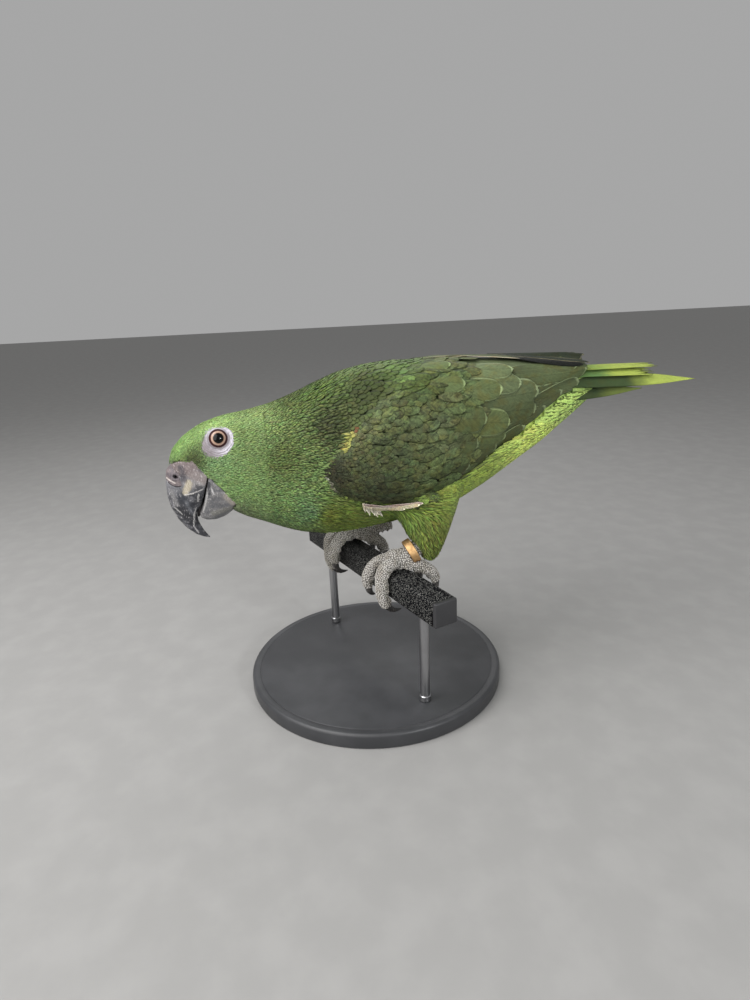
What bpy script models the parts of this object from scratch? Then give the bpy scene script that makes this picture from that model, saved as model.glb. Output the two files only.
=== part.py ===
"""A life-size amazon parrot gripping a cut length of square tube, which a small display stand holds up.

The bird faces -Y and its left side is +X. The origin is the middle of the underside of the stand's base.
Every size below is in millimetres; MM turns it into metres when a mesh is made.
"""

import math
from typing import NamedTuple

import bmesh
import bpy
from mathutils import Matrix, Vector

MM = 0.001
GAP = 0.32  # clearance between solids that meet

# Perch, a square steel tube that crosses under the bird at an angle.
TUBE = 16.0
TUBE_LENGTH = 164.0
TUBE_ROUNDING = 1.8
TUBE_HEIGHT = 80.0  # its axis above the floor
TUBE_TURN = math.radians(18.0)
CAP_LENGTH = 3.0
ALONG = Vector((math.cos(TUBE_TURN), math.sin(TUBE_TURN), 0.0))  # along the tube, to the bird's left
AHEAD = Vector((math.sin(TUBE_TURN), -math.cos(TUBE_TURN), 0.0))  # square to the tube, under the head
TUBE_TOP = TUBE_HEIGHT + TUBE / 2
TUBE_UNDER = TUBE_HEIGHT - TUBE / 2

# Stand
BASE_RADIUS = 86.0
BASE_THICKNESS = 10.0
BASE_ROUNDING = 2.0
ROD_RADIUS = 3.5
ROD_OFFSET = 62.0  # each rod from the middle, along the tube

# Legs
STANCE = 31.5  # each foot from the middle, along the tube
TOE_ROOT = 4.75  # each toe's root from its foot's middle, along the tube
PALM = (7.6, 7.4, 6.6)
PALM_HEIGHT = TUBE_TOP + PALM[2] + GAP
TARSUS_RADII = (5.2, 5.6, 5.3, 5.6)
BAND_OUTER = 8.0
BAND_INNER = 6.9
BAND_WIDTH = 5.0
BAND_AT = 0.45  # share of the way up the tarsus

# Head
EYE_RADIUS = 6.4
EYE_CENTRE = Vector((14.0, -90.0, 177.0))
CERE_CENTRE = (-116.8, 158.6)
CERE_RADIUS = 8.8
CERE_PROUD = 0.5
NOSTRIL_AT = Vector((9.0, -117.6, 155.6))
NOSTRIL_RADIUS = 1.2
HEAD_CUT = Vector((0.0, -60.0, 155.0))  # between head and neck
NECK_CUT = Vector((0.0, -38.0, 155.0))  # between neck and trunk
CUT_TILT = math.radians(5.0)

RING_SIDES = 28
BILL_SIDES = 20


class Section(NamedTuple):
    """One cross-section of a soft form: its two ends in the side view and its half width across."""

    upper: tuple  # (y, z)
    lower: tuple  # (y, z)
    half_width: float
    upper_square: float = 2.2  # superellipse powers of its two halves
    lower_square: float = 2.2
    x: float = 0.0


BODY = (
    Section((-121.0, 162.5), (-94.0, 137.0), 11.5),
    Section((-118.0, 170.3), (-87.0, 131.5), 16.0),
    Section((-111.0, 177.4), (-82.0, 127.5), 19.2, 2.6),
    Section((-100.5, 183.7), (-77.0, 124.5), 21.2, 2.8),
    Section((-88.0, 187.6), (-70.0, 121.5), 22.6, 2.7),
    Section((-73.0, 190.0), (-61.5, 117.5), 24.0, 2.4),
    Section((-60.0, 192.8), (-52.0, 113.4), 26.2),
    Section((-47.0, 197.0), (-42.0, 110.3), 29.5),
    Section((-33.0, 202.8), (-30.0, 108.9), 33.5),
    Section((-17.0, 209.0), (-16.0, 109.2), 36.8),
    Section((0.0, 213.0), (0.0, 111.0), 38.4),
    Section((18.0, 214.5), (17.0, 113.2), 38.6),
    Section((36.0, 213.8), (36.0, 115.8), 37.0),
    Section((55.0, 211.8), (56.0, 121.0), 33.0),
    Section((75.0, 208.6), (76.0, 131.0), 27.5),
    Section((95.0, 205.4), (96.0, 143.0), 22.0),
    Section((114.0, 202.8), (115.0, 154.5), 17.5),
    Section((131.0, 201.3), (132.0, 167.0), 13.5),
    Section((146.0, 200.0), (148.0, 179.0), 10.0),
    Section((157.0, 197.6), (158.0, 188.5), 5.5),
)

WING = (
    Section((-33.5, 157.5), (-33.5, 150.5), 27.0),
    Section((-31.0, 166.0), (-31.0, 142.0), 34.6, 2.4, 2.6),
    Section((-25.0, 175.0), (-25.0, 135.5), 38.4, 2.4, 3.0),
    Section((-13.0, 191.0), (-13.0, 131.5), 41.3, 2.4, 3.6),
    Section((2.0, 203.5), (2.0, 129.5), 43.2, 2.4, 4.0),
    Section((18.0, 211.0), (18.0, 129.0), 43.8, 2.4, 4.0),
    Section((33.0, 214.4), (33.0, 131.2), 42.6, 2.4, 4.0),
    Section((48.0, 215.4), (48.0, 136.0), 39.6, 2.4, 3.8),
    Section((63.0, 215.0), (63.0, 143.5), 35.8, 2.4, 3.6),
    Section((78.0, 214.0), (78.0, 152.5), 30.9, 2.4, 3.4),
    Section((93.0, 212.8), (93.0, 164.0), 25.6, 2.4, 3.2),
    Section((108.0, 211.4), (108.0, 177.5), 20.6, 2.4, 2.8),
    Section((123.0, 210.2), (123.0, 188.5), 16.4),
    Section((138.0, 208.8), (138.0, 196.0), 12.8),
    Section((150.0, 207.0), (150.0, 201.0), 9.0),
)

RIGHT_WING_LIFT = 4.4  # at its tip, where it lies over the left one
RIGHT_WING_TURN = 70.0  # y where the lift begins

BILL_UPPER = (
    Section((-117.0, 165.5), (-95.0, 152.5), 8.6),
    Section((-123.4, 159.0), (-99.5, 151.0), 9.4, 2.5, 3.0),
    Section((-125.3, 150.0), (-101.0, 147.0), 9.3, 2.3, 3.0),
    Section((-125.3, 142.5), (-103.2, 141.5), 8.3, 2.1, 3.0),
    Section((-124.0, 135.0), (-106.2, 135.6), 6.9, 2.0, 2.8),
    Section((-121.0, 127.6), (-109.6, 130.2), 5.5, 2.0, 2.6),
    Section((-116.4, 120.8), (-108.9, 124.2), 4.1),
    Section((-111.2, 116.2), (-107.0, 119.2), 2.8),
    Section((-106.8, 113.9), (-105.0, 115.8), 1.6),
    Section((-103.3, 112.7), (-103.1, 113.2), 0.5),
)

BILL_LOWER = (
    Section((-93.5, 152.5), (-80.5, 138.0), 8.6),
    Section((-99.4, 149.8), (-84.4, 134.2), 9.9, 2.6, 2.3),
    Section((-101.2, 145.6), (-87.6, 129.6), 9.7, 2.8, 2.3),
    Section((-103.0, 140.6), (-92.6, 126.4), 8.9, 3.0, 2.2),
    Section((-104.9, 136.0), (-98.0, 124.9), 7.8, 3.0, 2.1),
    Section((-106.6, 132.4), (-103.2, 125.2), 6.6, 3.0, 2.0),
    Section((-107.4, 130.2), (-106.5, 127.0), 5.0, 3.0, 2.0),
)

# The left thigh. Front and back ends, from the flank down to the heel.
THIGH = (
    Section((6.0, 142.0), (56.0, 150.0), 10.0, x=22.0),
    Section((9.5, 126.0), (54.5, 135.0), 14.0, x=25.0),
    Section((14.5, 118.0), (49.5, 123.0), 13.4, x=27.5),
    Section((18.5, 110.0), (45.0, 113.0), 11.6, x=29.5),
    Section((22.0, 102.0), (41.3, 104.6), 9.2, x=30.8),
    Section((25.6, 95.8), (38.0, 97.8), 6.4, x=31.2),
    Section((29.4, 91.6), (34.6, 92.6), 2.6, x=31.2),
)


class Leg(NamedTuple):
    """What differs between the two legs, because the tube runs at an angle under the bird."""

    side: int  # 1 for the bird's left, -1 for its right
    thigh_shift: tuple  # (y, z) at the heel, fading to nothing at the flank
    heel: tuple  # (x, y, z)
    spread: dict  # how far each toe's tip lies from the foot's middle, along the tube


LEGS = {
    "left": Leg(
        1,
        (0.0, 0.0),
        (29.6, 33.0, 105.5),
        {"front_outer": 5.2, "front_inner": 10.0, "back_outer": 9.6, "back_inner": 8.6},
    ),
    "right": Leg(
        -1,
        (-11.0, 6.0),
        (-29.0, 21.0, 99.0),
        {"front_outer": 5.0, "front_inner": 5.6, "back_outer": 8.6, "back_inner": 9.6},
    ),
}


class Digit(NamedTuple):
    """One kind of toe, in the tube's own frame: distance ahead of its axis, and height above the floor."""

    toe: tuple
    claw: tuple


LONG_FRONT = Digit(
    ((3.5, 94.6), (9.8, 93.6), (13.2, 88.4), (13.5, 80.5), (13.2, 73.6), (10.6, 67.8)),
    ((11.8, 69.6), (8.6, 65.6), (4.4, 63.2), (-0.2, 62.9)),
)
SHORT_FRONT = Digit(
    ((3.0, 94.4), (8.4, 93.0), (12.8, 89.2), (14.9, 84.6), (15.1, 80.2), (14.2, 76.6)),
    ((14.7, 78.2), (14.3, 73.8), (12.4, 70.9), (9.9, 69.9)),
)
BACK = Digit(
    ((-2.0, 94.4), (-7.2, 92.9), (-12.6, 90.4), (-17.8, 87.0), (-21.8, 82.8), (-23.6, 78.2)),
    ((-23.2, 79.6), (-23.8, 74.8), (-21.8, 71.4), (-18.6, 69.9)),
)
DIGITS = {"front_outer": LONG_FRONT, "front_inner": SHORT_FRONT, "back_outer": BACK, "back_inner": BACK}
TOE_RADII = (4.3, 4.4, 4.4, 4.3, 4.1, 3.5)
CLAW_RADII = (2.6, 2.3, 1.5, 0.4)


class Feather(NamedTuple):
    """One tail feather, as it lies in the closed, roof-shaped tail."""

    side: float  # of the middle, at the tip
    drop: float  # of the tip below the ridge
    tip: float  # y of the tip
    point: float  # how long its tip tapers


TAIL_ROOT = (118.0, 193.0)  # (y, z)
TAIL_RIDGE = 198.6  # z of the middle feathers' tips
TAIL_HALF_WIDTH = 7.6
TAIL_HALF_THICKNESS = 1.1
TAIL = (
    Feather(0.0, 0.0, 196.0, 16.0),
    Feather(6.0, 2.6, 201.0, 20.0),
    Feather(-6.0, 2.6, 203.0, 18.0),
    Feather(11.0, 6.6, 224.0, 44.0),
    Feather(-11.0, 6.6, 205.0, 18.0),
    Feather(15.0, 11.2, 197.0, 22.0),
    Feather(-15.0, 11.2, 198.0, 20.0),
)
TAIL_LEAN = math.radians(20.0)  # how far the outer feathers lean over


def collection(name):
    """A new collection in the scene."""
    made = bpy.data.collections.new(name)
    bpy.context.scene.collection.children.link(made)
    return made


def material(name, colour, roughness, metallic=0.0):
    """A plain finish for one kind of surface."""
    made = bpy.data.materials.new(name)
    made.use_nodes = True
    shader = made.node_tree.nodes["Principled BSDF"]
    shader.inputs["Base Color"].default_value = (*colour, 1.0)
    shader.inputs["Roughness"].default_value = roughness
    shader.inputs["Metallic"].default_value = metallic
    return made


def new_object(name, bm, group):
    """Turns a bmesh into an object of that group, its faces pointing out."""
    bmesh.ops.recalc_face_normals(bm, faces=bm.faces)
    mesh = bpy.data.meshes.new(name)
    bm.to_mesh(mesh)
    bm.free()
    mesh.shade_smooth()
    made = bpy.data.objects.new(name, mesh)
    group.objects.link(made)
    return made


def smooth_run(values, share):
    """The point at that share, 0 to 1, of a smooth curve through tuples of numbers."""
    place = share * (len(values) - 1)
    i = min(int(place), len(values) - 2)
    t = place - i
    before, a, b, after = (values[max(0, min(len(values) - 1, i + k))] for k in (-1, 0, 1, 2))
    return [
        0.5 * (2 * q + (r - p) * t + (2 * p - 5 * q + 4 * r - s) * t**2 + (3 * q - p - 3 * r + s) * t**3)
        for p, q, r, s in zip(before, a, b, after)
    ]


def rings_of(sections, per_section):
    """The sections with smoothly interpolated ones between them."""
    flat = [(*s.upper, *s.lower, *s[2:]) for s in sections]
    count = (len(sections) - 1) * per_section
    rows = [smooth_run(flat, i / count) for i in range(count + 1)]
    return [Section((r[0], r[1]), (r[2], r[3]), *r[4:]) for r in rows]


def power(value, exponent):
    """A signed power, for superellipses."""
    return math.copysign(abs(value) ** exponent, value)


def loft_mesh(sections, grow=0.0, per_section=1, sides=RING_SIDES):
    """A closed form through superellipse sections, all its surface moved out by grow."""
    bm = bmesh.new()
    rings = []
    for section in rings_of(sections, per_section):
        upper, lower = Vector((0.0, *section.upper)), Vector((0.0, *section.lower))
        centre = (upper + lower) / 2
        centre.x = section.x
        rise = (upper - lower) / 2
        rise += rise.normalized() * grow
        across = section.half_width + grow
        ring = []
        for k in range(sides):
            turn = 2 * math.pi * k / sides
            square = section.upper_square if math.sin(turn) > 0 else section.lower_square
            x = across * power(math.cos(turn), 2 / square)
            point = centre + Vector((x, 0.0, 0.0)) + rise * power(math.sin(turn), 2 / square)
            ring.append(bm.verts.new(point * MM))
        rings.append(ring)
    for ring, after in zip(rings, rings[1:]):
        for k in range(sides):
            bm.faces.new((ring[k - 1], ring[k], after[k], after[k - 1]))
    bm.faces.new(rings[0])
    bm.faces.new(rings[-1])
    if grow:
        ends = (rings[0], rings[-1])
        for ring, inner in zip(ends, (rings[1], rings[-2])):
            out = (ring[0].co + ring[sides // 2].co - inner[0].co - inner[sides // 2].co).normalized()
            bmesh.ops.translate(bm, verts=ring, vec=out * grow * MM)
    return bm


def tube(name, points, radii, group, resolution, count):
    """A round bar along a smooth curve through the points, its ends closed."""
    curve = bpy.data.curves.new(name, "CURVE")
    curve.dimensions = "3D"
    curve.bevel_depth = MM
    curve.bevel_resolution = resolution
    curve.use_fill_caps = True
    spline = curve.splines.new("POLY")
    spline.points.add(count)
    rows = [(*p, r) for p, r in zip(points, radii)]
    for i, point in enumerate(spline.points):
        x, y, z, radius = smooth_run(rows, i / count)
        point.co = (x * MM, y * MM, z * MM, 1.0)
        point.radius = radius
    bar = bpy.data.objects.new(name + "_curve", curve)
    group.objects.link(bar)
    bpy.context.view_layer.update()
    graph = bpy.context.evaluated_depsgraph_get()
    mesh = bpy.data.meshes.new_from_object(bar.evaluated_get(graph))
    bm = bmesh.new()
    bm.from_mesh(mesh)
    bmesh.ops.remove_doubles(bm, verts=bm.verts, dist=0.001 * MM)
    bpy.data.objects.remove(bar)
    bpy.data.meshes.remove(mesh)
    return new_object(name, bm, group)


def combine(target, other, operation="DIFFERENCE"):
    """Cuts, joins or intersects target with other, for good."""
    step = target.modifiers.new(operation.lower(), "BOOLEAN")
    step.operation = operation
    step.solver = "EXACT"
    step.object = other
    bpy.context.view_layer.update()
    graph = bpy.context.evaluated_depsgraph_get()
    mesh = bpy.data.meshes.new_from_object(target.evaluated_get(graph))
    target.modifiers.clear()
    target.data = mesh
    mesh.shade_smooth()


def swollen(source, name, by, group):
    """A copy of an object with its surface moved out, for cutting its neighbours clear of it."""
    bm = bmesh.new()
    bm.from_mesh(source.data)
    bm.normal_update()
    for vert, normal in [(v, v.normal.copy()) for v in bm.verts]:
        vert.co += normal * by * MM
    return new_object(name, bm, group)


def half_of(source, name, point, normal, group):
    """A copy of what lies on the far side of a plane from its normal, closed where it was cut."""
    bm = bmesh.new()
    bm.from_mesh(source.data)
    geometry = [*bm.verts, *bm.edges, *bm.faces]
    bmesh.ops.bisect_plane(bm, geom=geometry, plane_co=point * MM, plane_no=normal, clear_outer=True)
    bmesh.ops.holes_fill(bm, edges=[e for e in bm.edges if e.is_boundary])
    return new_object(name, bm, group)


def cylinder(name, group, centre, axis, radius, length, sides=48, rounding=0.0):
    """A round bar about any axis, its rims rounded if asked."""
    bm = bmesh.new()
    turn = Vector(axis).to_track_quat("Z", "Y").to_matrix().to_4x4()
    bmesh.ops.create_cone(
        bm, cap_ends=True, segments=sides, radius1=radius * MM, radius2=radius * MM, depth=length * MM
    )
    if rounding:
        rims = [e for e in bm.edges if abs(e.verts[0].co.z - e.verts[1].co.z) < 0.1 * MM]
        bmesh.ops.bevel(bm, geom=rims, offset=rounding * MM, segments=2, profile=0.5, affect="EDGES")
    bmesh.ops.transform(bm, matrix=Matrix.Translation(Vector(centre) * MM) @ turn, verts=bm.verts)
    return new_object(name, bm, group)


def ball(name, group, centre, radii, turn=0.0, rows=8):
    """An ellipsoid, turned about the vertical."""
    bm = bmesh.new()
    bmesh.ops.create_uvsphere(bm, u_segments=rows * 2, v_segments=rows, radius=MM)
    shape = Matrix.Diagonal((*radii, 1.0))
    place = Matrix.Translation(Vector(centre) * MM) @ Matrix.Rotation(turn, 4, "Z") @ shape
    bmesh.ops.transform(bm, matrix=place, verts=bm.verts)
    return new_object(name, bm, group)


def block(name, group, centre, size, turn=0.0, rounding=0.0, long_edges=False):
    """A box, turned about the vertical, its edges rounded if asked."""
    bm = bmesh.new()
    bmesh.ops.create_cube(bm, size=MM)
    bmesh.ops.scale(bm, vec=size, verts=bm.verts)
    if rounding:
        edges = bm.edges[:]
        if long_edges:
            edges = [e for e in edges if abs(e.verts[0].co.x - e.verts[1].co.x) > size[0] * MM / 2]
        bmesh.ops.bevel(bm, geom=edges, offset=rounding * MM, segments=3 if long_edges else 1, profile=0.5, affect="EDGES")
    place = Matrix.Translation(Vector(centre) * MM) @ Matrix.Rotation(turn, 4, "Z")
    bmesh.ops.transform(bm, matrix=place, verts=bm.verts)
    return new_object(name, bm, group)


def on_tube(along, ahead, height):
    """A point given in the tube's frame, as (x, y, z)."""
    place = ALONG * along + AHEAD * ahead
    return (place.x, place.y, height)


def make_bill(parts, cutters):
    """The two mandibles and the cere over the upper one's base."""
    upper = new_object("bill_upper", loft_mesh(BILL_UPPER, sides=BILL_SIDES), parts)
    cere = new_object("cere", loft_mesh(BILL_UPPER, CERE_PROUD, sides=BILL_SIDES), parts)
    cere_middle = (0.0, *CERE_CENTRE)
    across = (1.0, 0.0, 0.0)
    core = cylinder("cere_core", cutters, cere_middle, across, CERE_RADIUS, 60.0, 28)
    seat = cylinder("cere_seat", cutters, cere_middle, across, CERE_RADIUS + GAP, 60.0, 28)
    combine(cere, core, "INTERSECT")
    combine(upper, seat)
    for side in (1, -1):
        place = Vector((side * NOSTRIL_AT.x, NOSTRIL_AT.y, NOSTRIL_AT.z))
        combine(cere, cylinder("nostril", cutters, place, across, NOSTRIL_RADIUS, 5.0, 10))
    lower = new_object("bill_lower", loft_mesh(BILL_LOWER, sides=BILL_SIDES), parts)
    combine(lower, new_object("bite", loft_mesh(BILL_UPPER, GAP, sides=BILL_SIDES), cutters))
    seats = [new_object("upper_seat", loft_mesh(BILL_UPPER, CERE_PROUD + GAP, sides=BILL_SIDES), cutters)]
    seats.append(new_object("lower_seat", loft_mesh(BILL_LOWER, GAP, sides=BILL_SIDES), cutters))
    return [upper, cere, lower], seats


def make_body(parts, cutters, seats):
    """Head, neck and trunk, modelled whole and parted by two thin cuts, with the eyes in their sockets."""
    whole = new_object("whole_body", loft_mesh(BODY), cutters)
    facing = Vector((0.0, -math.cos(CUT_TILT), math.sin(CUT_TILT)))
    gap = facing * GAP / 2
    head = half_of(whole, "head", HEAD_CUT + gap, -facing, parts)
    front = half_of(whole, "front", HEAD_CUT - gap, facing, cutters)
    neck = half_of(front, "neck", NECK_CUT + gap, -facing, parts)
    trunk = half_of(whole, "trunk", NECK_CUT - gap, facing, parts)
    for seat in seats:
        combine(head, seat)
    eyes = []
    for side, name in ((1, "left"), (-1, "right")):
        centre = Vector((side * EYE_CENTRE.x, EYE_CENTRE.y, EYE_CENTRE.z))
        radii = (EYE_RADIUS,) * 3
        eyes.append(ball("eye_" + name, parts, centre, radii))
        combine(head, ball("socket_" + name, cutters, centre, [r + GAP for r in radii]))
    return [head, neck, trunk], eyes


def lifted_wing(lift):
    """The wing's sections, its rear raised more and more towards the tip."""
    reach = WING[-1].upper[0] - RIGHT_WING_TURN
    sections = []
    for section in WING:
        rise = lift * max(0.0, section.upper[0] - RIGHT_WING_TURN) / reach
        upper, lower = ((y, z + rise) for y, z in (section.upper, section.lower))
        sections.append(section._replace(upper=upper, lower=lower))
    return sections


def make_wings(parts, cutters):
    """Both folded wings: shells that lie on the trunk and run on past it over the tail's root."""
    wings = []
    for side, name, lift in ((1, "left", 0.0), (-1, "right", RIGHT_WING_LIFT)):
        both = new_object("both_wings", loft_mesh(lifted_wing(lift)), cutters)
        middle, outward = Vector((side * GAP, 0.0, 0.0)), Vector((side, 0.0, 0.0))
        wing = half_of(both, "wing_" + name, middle, -outward, parts)
        combine(wing, new_object("wing_bed", loft_mesh(BODY, GAP), cutters))
        wings.append(wing)
    return wings


def make_tail(parts, cutters):
    """Seven overlapping tail feathers, joined, and cut clear of the trunk and wings."""
    tail = None
    for feather in TAIL:
        lean = TAIL_LEAN * feather.side / max(abs(f.side) for f in TAIL)
        bm = bmesh.new()
        length = feather.tip - TAIL_ROOT[0]
        stops = (0.0, (length - feather.point) / 2, length - feather.point, length - feather.point / 3, length)
        widths = (0.7, 1.0, 1.0, 0.55, 0.08)
        sections = [
            Section((y, TAIL_HALF_THICKNESS), (y, -TAIL_HALF_THICKNESS), TAIL_HALF_WIDTH * w)
            for y, w in zip(stops, widths)
        ]
        bm = loft_mesh(sections, sides=6)
        rise = TAIL_RIDGE - feather.drop - TAIL_ROOT[1]
        pitch = Matrix.Rotation(math.atan2(rise, length), 4, "X")
        yaw = Matrix.Rotation(-math.atan2(feather.side, length), 4, "Z")
        root = Matrix.Translation(Vector((0.0, *TAIL_ROOT)) * MM)
        bmesh.ops.transform(bm, matrix=root @ yaw @ pitch @ Matrix.Rotation(lean, 4, "Y"), verts=bm.verts)
        if tail is None:
            tail = new_object("tail", bm, parts)
        else:
            combine(tail, new_object("tail_feather", bm, cutters), "UNION")
    combine(tail, new_object("tail_bed", loft_mesh(BODY, GAP), cutters))
    for lift in (0.0, RIGHT_WING_LIFT):
        combine(tail, new_object("tail_cover", loft_mesh(lifted_wing(lift), GAP), cutters))
    return tail


def shifted(section, leg, share):
    """A thigh section, moved by its share of the leg's own shift."""
    y, z = (share * d for d in leg.thigh_shift)
    return section._replace(
        upper=(section.upper[0] + y, section.upper[1] + z),
        lower=(section.lower[0] + y, section.lower[1] + z),
        x=leg.side * section.x,
    )


def tarsus_run(leg):
    """The line of the bare shank, from the foot up to the heel inside the thigh's feathers."""
    foot = Vector(on_tube(leg.side * STANCE, 0.0, PALM_HEIGHT - 1.0))
    heel = Vector(leg.heel)
    return [tuple(foot.lerp(heel, share)) for share in (0.0, 0.33, 0.66, 1.0)]


def make_leg(name, leg, parts, cutters):
    """One feathered thigh, bare tarsus and foot, with four toes and claws round the tube."""
    last = len(THIGH) - 1
    sections = [shifted(s, leg, i / last) for i, s in enumerate(THIGH)]
    thigh = new_object("thigh_" + name, loft_mesh(sections, sides=18), parts)
    combine(thigh, new_object("flank", loft_mesh(BODY, GAP), cutters))
    combine(thigh, new_object("underwing", loft_mesh(WING, GAP), cutters))

    palm_at = on_tube(leg.side * STANCE, 0.0, PALM_HEIGHT)
    palm = ball("palm", cutters, palm_at, PALM, TUBE_TURN, 7)
    run = tarsus_run(leg)
    tarsus = tube("tarsus_" + name, run, TARSUS_RADII, parts, 3, 5)
    beds = [swollen(palm, "palm_bed", GAP, cutters), swollen(tarsus, "shank_bed", GAP, cutters)]
    combine(tarsus, palm, "UNION")
    combine(thigh, beds[1])
    made = {"thigh": [thigh], "scales": [tarsus], "claws": []}

    for kind, digit in DIGITS.items():
        side = leg.side if kind.endswith("outer") else -leg.side
        steps = len(digit.toe) - 1
        reach = leg.spread[kind] - TOE_ROOT
        spreads = [side * (TOE_ROOT + reach * math.sin(math.pi / 2 * i / steps)) for i in range(steps + 1)]
        middle = leg.side * STANCE
        points = [on_tube(middle + along, *place) for along, place in zip(spreads, digit.toe)]
        toe = tube(f"toe_{name}_{kind}", points, TOE_RADII, parts, 2, 8)
        toe_bed = swollen(toe, "toe_bed", GAP, cutters)
        combine(thigh, toe_bed)
        for bed in beds:
            combine(toe, bed)
        nail = [on_tube(middle + spreads[-1], *place) for place in digit.claw]
        claw = tube(f"claw_{name}_{kind}", nail, CLAW_RADII, parts, 1, 5)
        combine(claw, toe_bed)
        made["scales"].append(toe)
        made["claws"].append(claw)
    return made, run


def make_leg_band(run, neighbours, parts, cutters):
    """The metal ring round the left tarsus, its neighbours cut clear of it."""
    low, high = Vector(run[0]), Vector(run[-1])
    centre = low.lerp(high, BAND_AT)
    axis = (high - low).normalized()
    band = cylinder("leg_band", parts, centre, axis, BAND_OUTER, BAND_WIDTH, 28)
    combine(band, cylinder("band_hole", cutters, centre, axis, BAND_INNER, 20.0, 28))
    bed = cylinder("band_bed", cutters, centre, axis, BAND_OUTER + GAP, BAND_WIDTH + 2 * GAP, 28)
    for item in neighbours:
        combine(item, bed)
    return band


def make_perch(parts):
    """The cut length of square tube, with a plug in each end."""
    middle = Vector((0.0, 0.0, TUBE_HEIGHT))
    size = (TUBE_LENGTH, TUBE, TUBE)
    bar = block("perch_bar", parts, middle, size, TUBE_TURN, TUBE_ROUNDING, True)
    caps = []
    for side, name in ((1, "left"), (-1, "right")):
        centre = middle + ALONG * side * (TUBE_LENGTH / 2 + GAP + CAP_LENGTH / 2)
        size = (CAP_LENGTH, TUBE - 0.4, TUBE - 0.4)
        caps.append(block("perch_cap_" + name, parts, centre, size, TUBE_TURN, 1.2))
    return bar, caps


def make_stand(parts):
    """The round base and the two rods that hold the tube."""
    base = cylinder(
        "stand_base", parts, (0, 0, BASE_THICKNESS / 2), (0, 0, 1), BASE_RADIUS, BASE_THICKNESS, 48, BASE_ROUNDING
    )
    rods = []
    low, high = BASE_THICKNESS + GAP, TUBE_UNDER - GAP
    for side, name in ((1, "left"), (-1, "right")):
        x, y, _ = on_tube(side * ROD_OFFSET, 0.0, 0.0)
        centre = (x, y, (low + high) / 2)
        rods.append(cylinder("stand_rod_" + name, parts, centre, (0, 0, 1), ROD_RADIUS, high - low, 20))
    return [base, *rods]


def paint(objects, finish):
    """Gives each object one finish."""
    for item in objects:
        item.data.materials.clear()
        item.data.materials.append(finish)


def main():
    """Builds the bird, its perch and its stand."""
    for item in list(bpy.data.objects):
        bpy.data.objects.remove(item)
    parts, cutters = collection("amazon_parrot"), collection("cutters")

    bill, seats = make_bill(parts, cutters)
    body, eyes = make_body(parts, cutters, seats)
    wings = make_wings(parts, cutters)
    tail = make_tail(parts, cutters)
    legs = {name: make_leg(name, leg, parts, cutters) for name, leg in LEGS.items()}
    left_leg, left_run = legs["left"]
    band = make_leg_band(left_run, [*left_leg["thigh"], *left_leg["scales"][-2:]], parts, cutters)
    bar, caps = make_perch(parts)
    stand = make_stand(parts)

    upper, cere, lower = bill
    made = [made for made, _ in legs.values()]
    paint([*body, *sum((m["thigh"] for m in made), [])], material("green_plumage", (0.16, 0.27, 0.06), 0.75))
    paint(wings, material("wing_plumage", (0.08, 0.14, 0.04), 0.7))
    paint([tail], material("tail_plumage", (0.25, 0.36, 0.05), 0.7))
    paint([upper, lower], material("grey_horn", (0.16, 0.16, 0.17), 0.35))
    paint([cere], material("cere_skin", (0.2, 0.16, 0.15), 0.6))
    paint(eyes, material("eye", (0.02, 0.015, 0.01), 0.08))
    paint(sum((m["scales"] for m in made), []), material("foot_scales", (0.45, 0.43, 0.4), 0.7))
    paint(sum((m["claws"] for m in made), []), material("black_claw", (0.03, 0.027, 0.025), 0.35))
    paint([band], material("gilt_ring", (0.72, 0.46, 0.22), 0.3, 1.0))
    paint([bar], material("hammered_paint", (0.09, 0.09, 0.095), 0.45, 0.4))
    paint([*caps, *stand], material("stand_paint", (0.05, 0.05, 0.055), 0.5))

    for item in cutters.objects:
        item.hide_render = True
        item.display_type = "WIRE"
    cutters.hide_render = True


main()
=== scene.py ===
"""Looks of a life-size amazon parrot that grips a cut length of square tube on a small display stand.

The bird faces -Y, its left side is +X, and the floor is at zero height. One skin lies under the whole bird,
and feathers and scales of real mesh lie over it, tract by tract.
"""

import logging
import math
from collections import defaultdict
from dataclasses import dataclass, replace
from enum import Enum
from typing import Callable, Iterable, Optional, Sequence

import bmesh
import bpy
import numpy as np
from mathutils import Matrix, Vector, noise
from mathutils.bvhtree import BVHTree
from mathutils.kdtree import KDTree


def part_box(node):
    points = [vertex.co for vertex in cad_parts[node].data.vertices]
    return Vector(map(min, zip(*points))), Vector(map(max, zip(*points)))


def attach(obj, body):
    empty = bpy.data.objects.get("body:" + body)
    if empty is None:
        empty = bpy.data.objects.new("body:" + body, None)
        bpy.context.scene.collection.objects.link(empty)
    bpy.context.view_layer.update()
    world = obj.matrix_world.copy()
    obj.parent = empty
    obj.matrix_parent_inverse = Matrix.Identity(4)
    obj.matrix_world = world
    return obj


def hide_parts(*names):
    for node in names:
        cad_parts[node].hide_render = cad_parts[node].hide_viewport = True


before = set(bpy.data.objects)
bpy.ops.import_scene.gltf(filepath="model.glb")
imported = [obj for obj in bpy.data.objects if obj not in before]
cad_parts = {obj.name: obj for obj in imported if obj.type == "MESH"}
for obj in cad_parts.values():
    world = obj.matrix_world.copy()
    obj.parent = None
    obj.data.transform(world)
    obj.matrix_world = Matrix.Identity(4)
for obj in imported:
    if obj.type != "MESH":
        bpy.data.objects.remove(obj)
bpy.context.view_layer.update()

LOG = logging.getLogger("amazon_parrot")
MM = 0.001
Place = tuple[float, float, float]
Colour = tuple[float, float, float]
Spot = tuple[float, float]  # a place seen from the side, y and z in mm
Rows = np.ndarray
Form = bmesh.types.BMesh
Item = bpy.types.Object
Material = bpy.types.Material
Socket = bpy.types.NodeSocket

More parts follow.
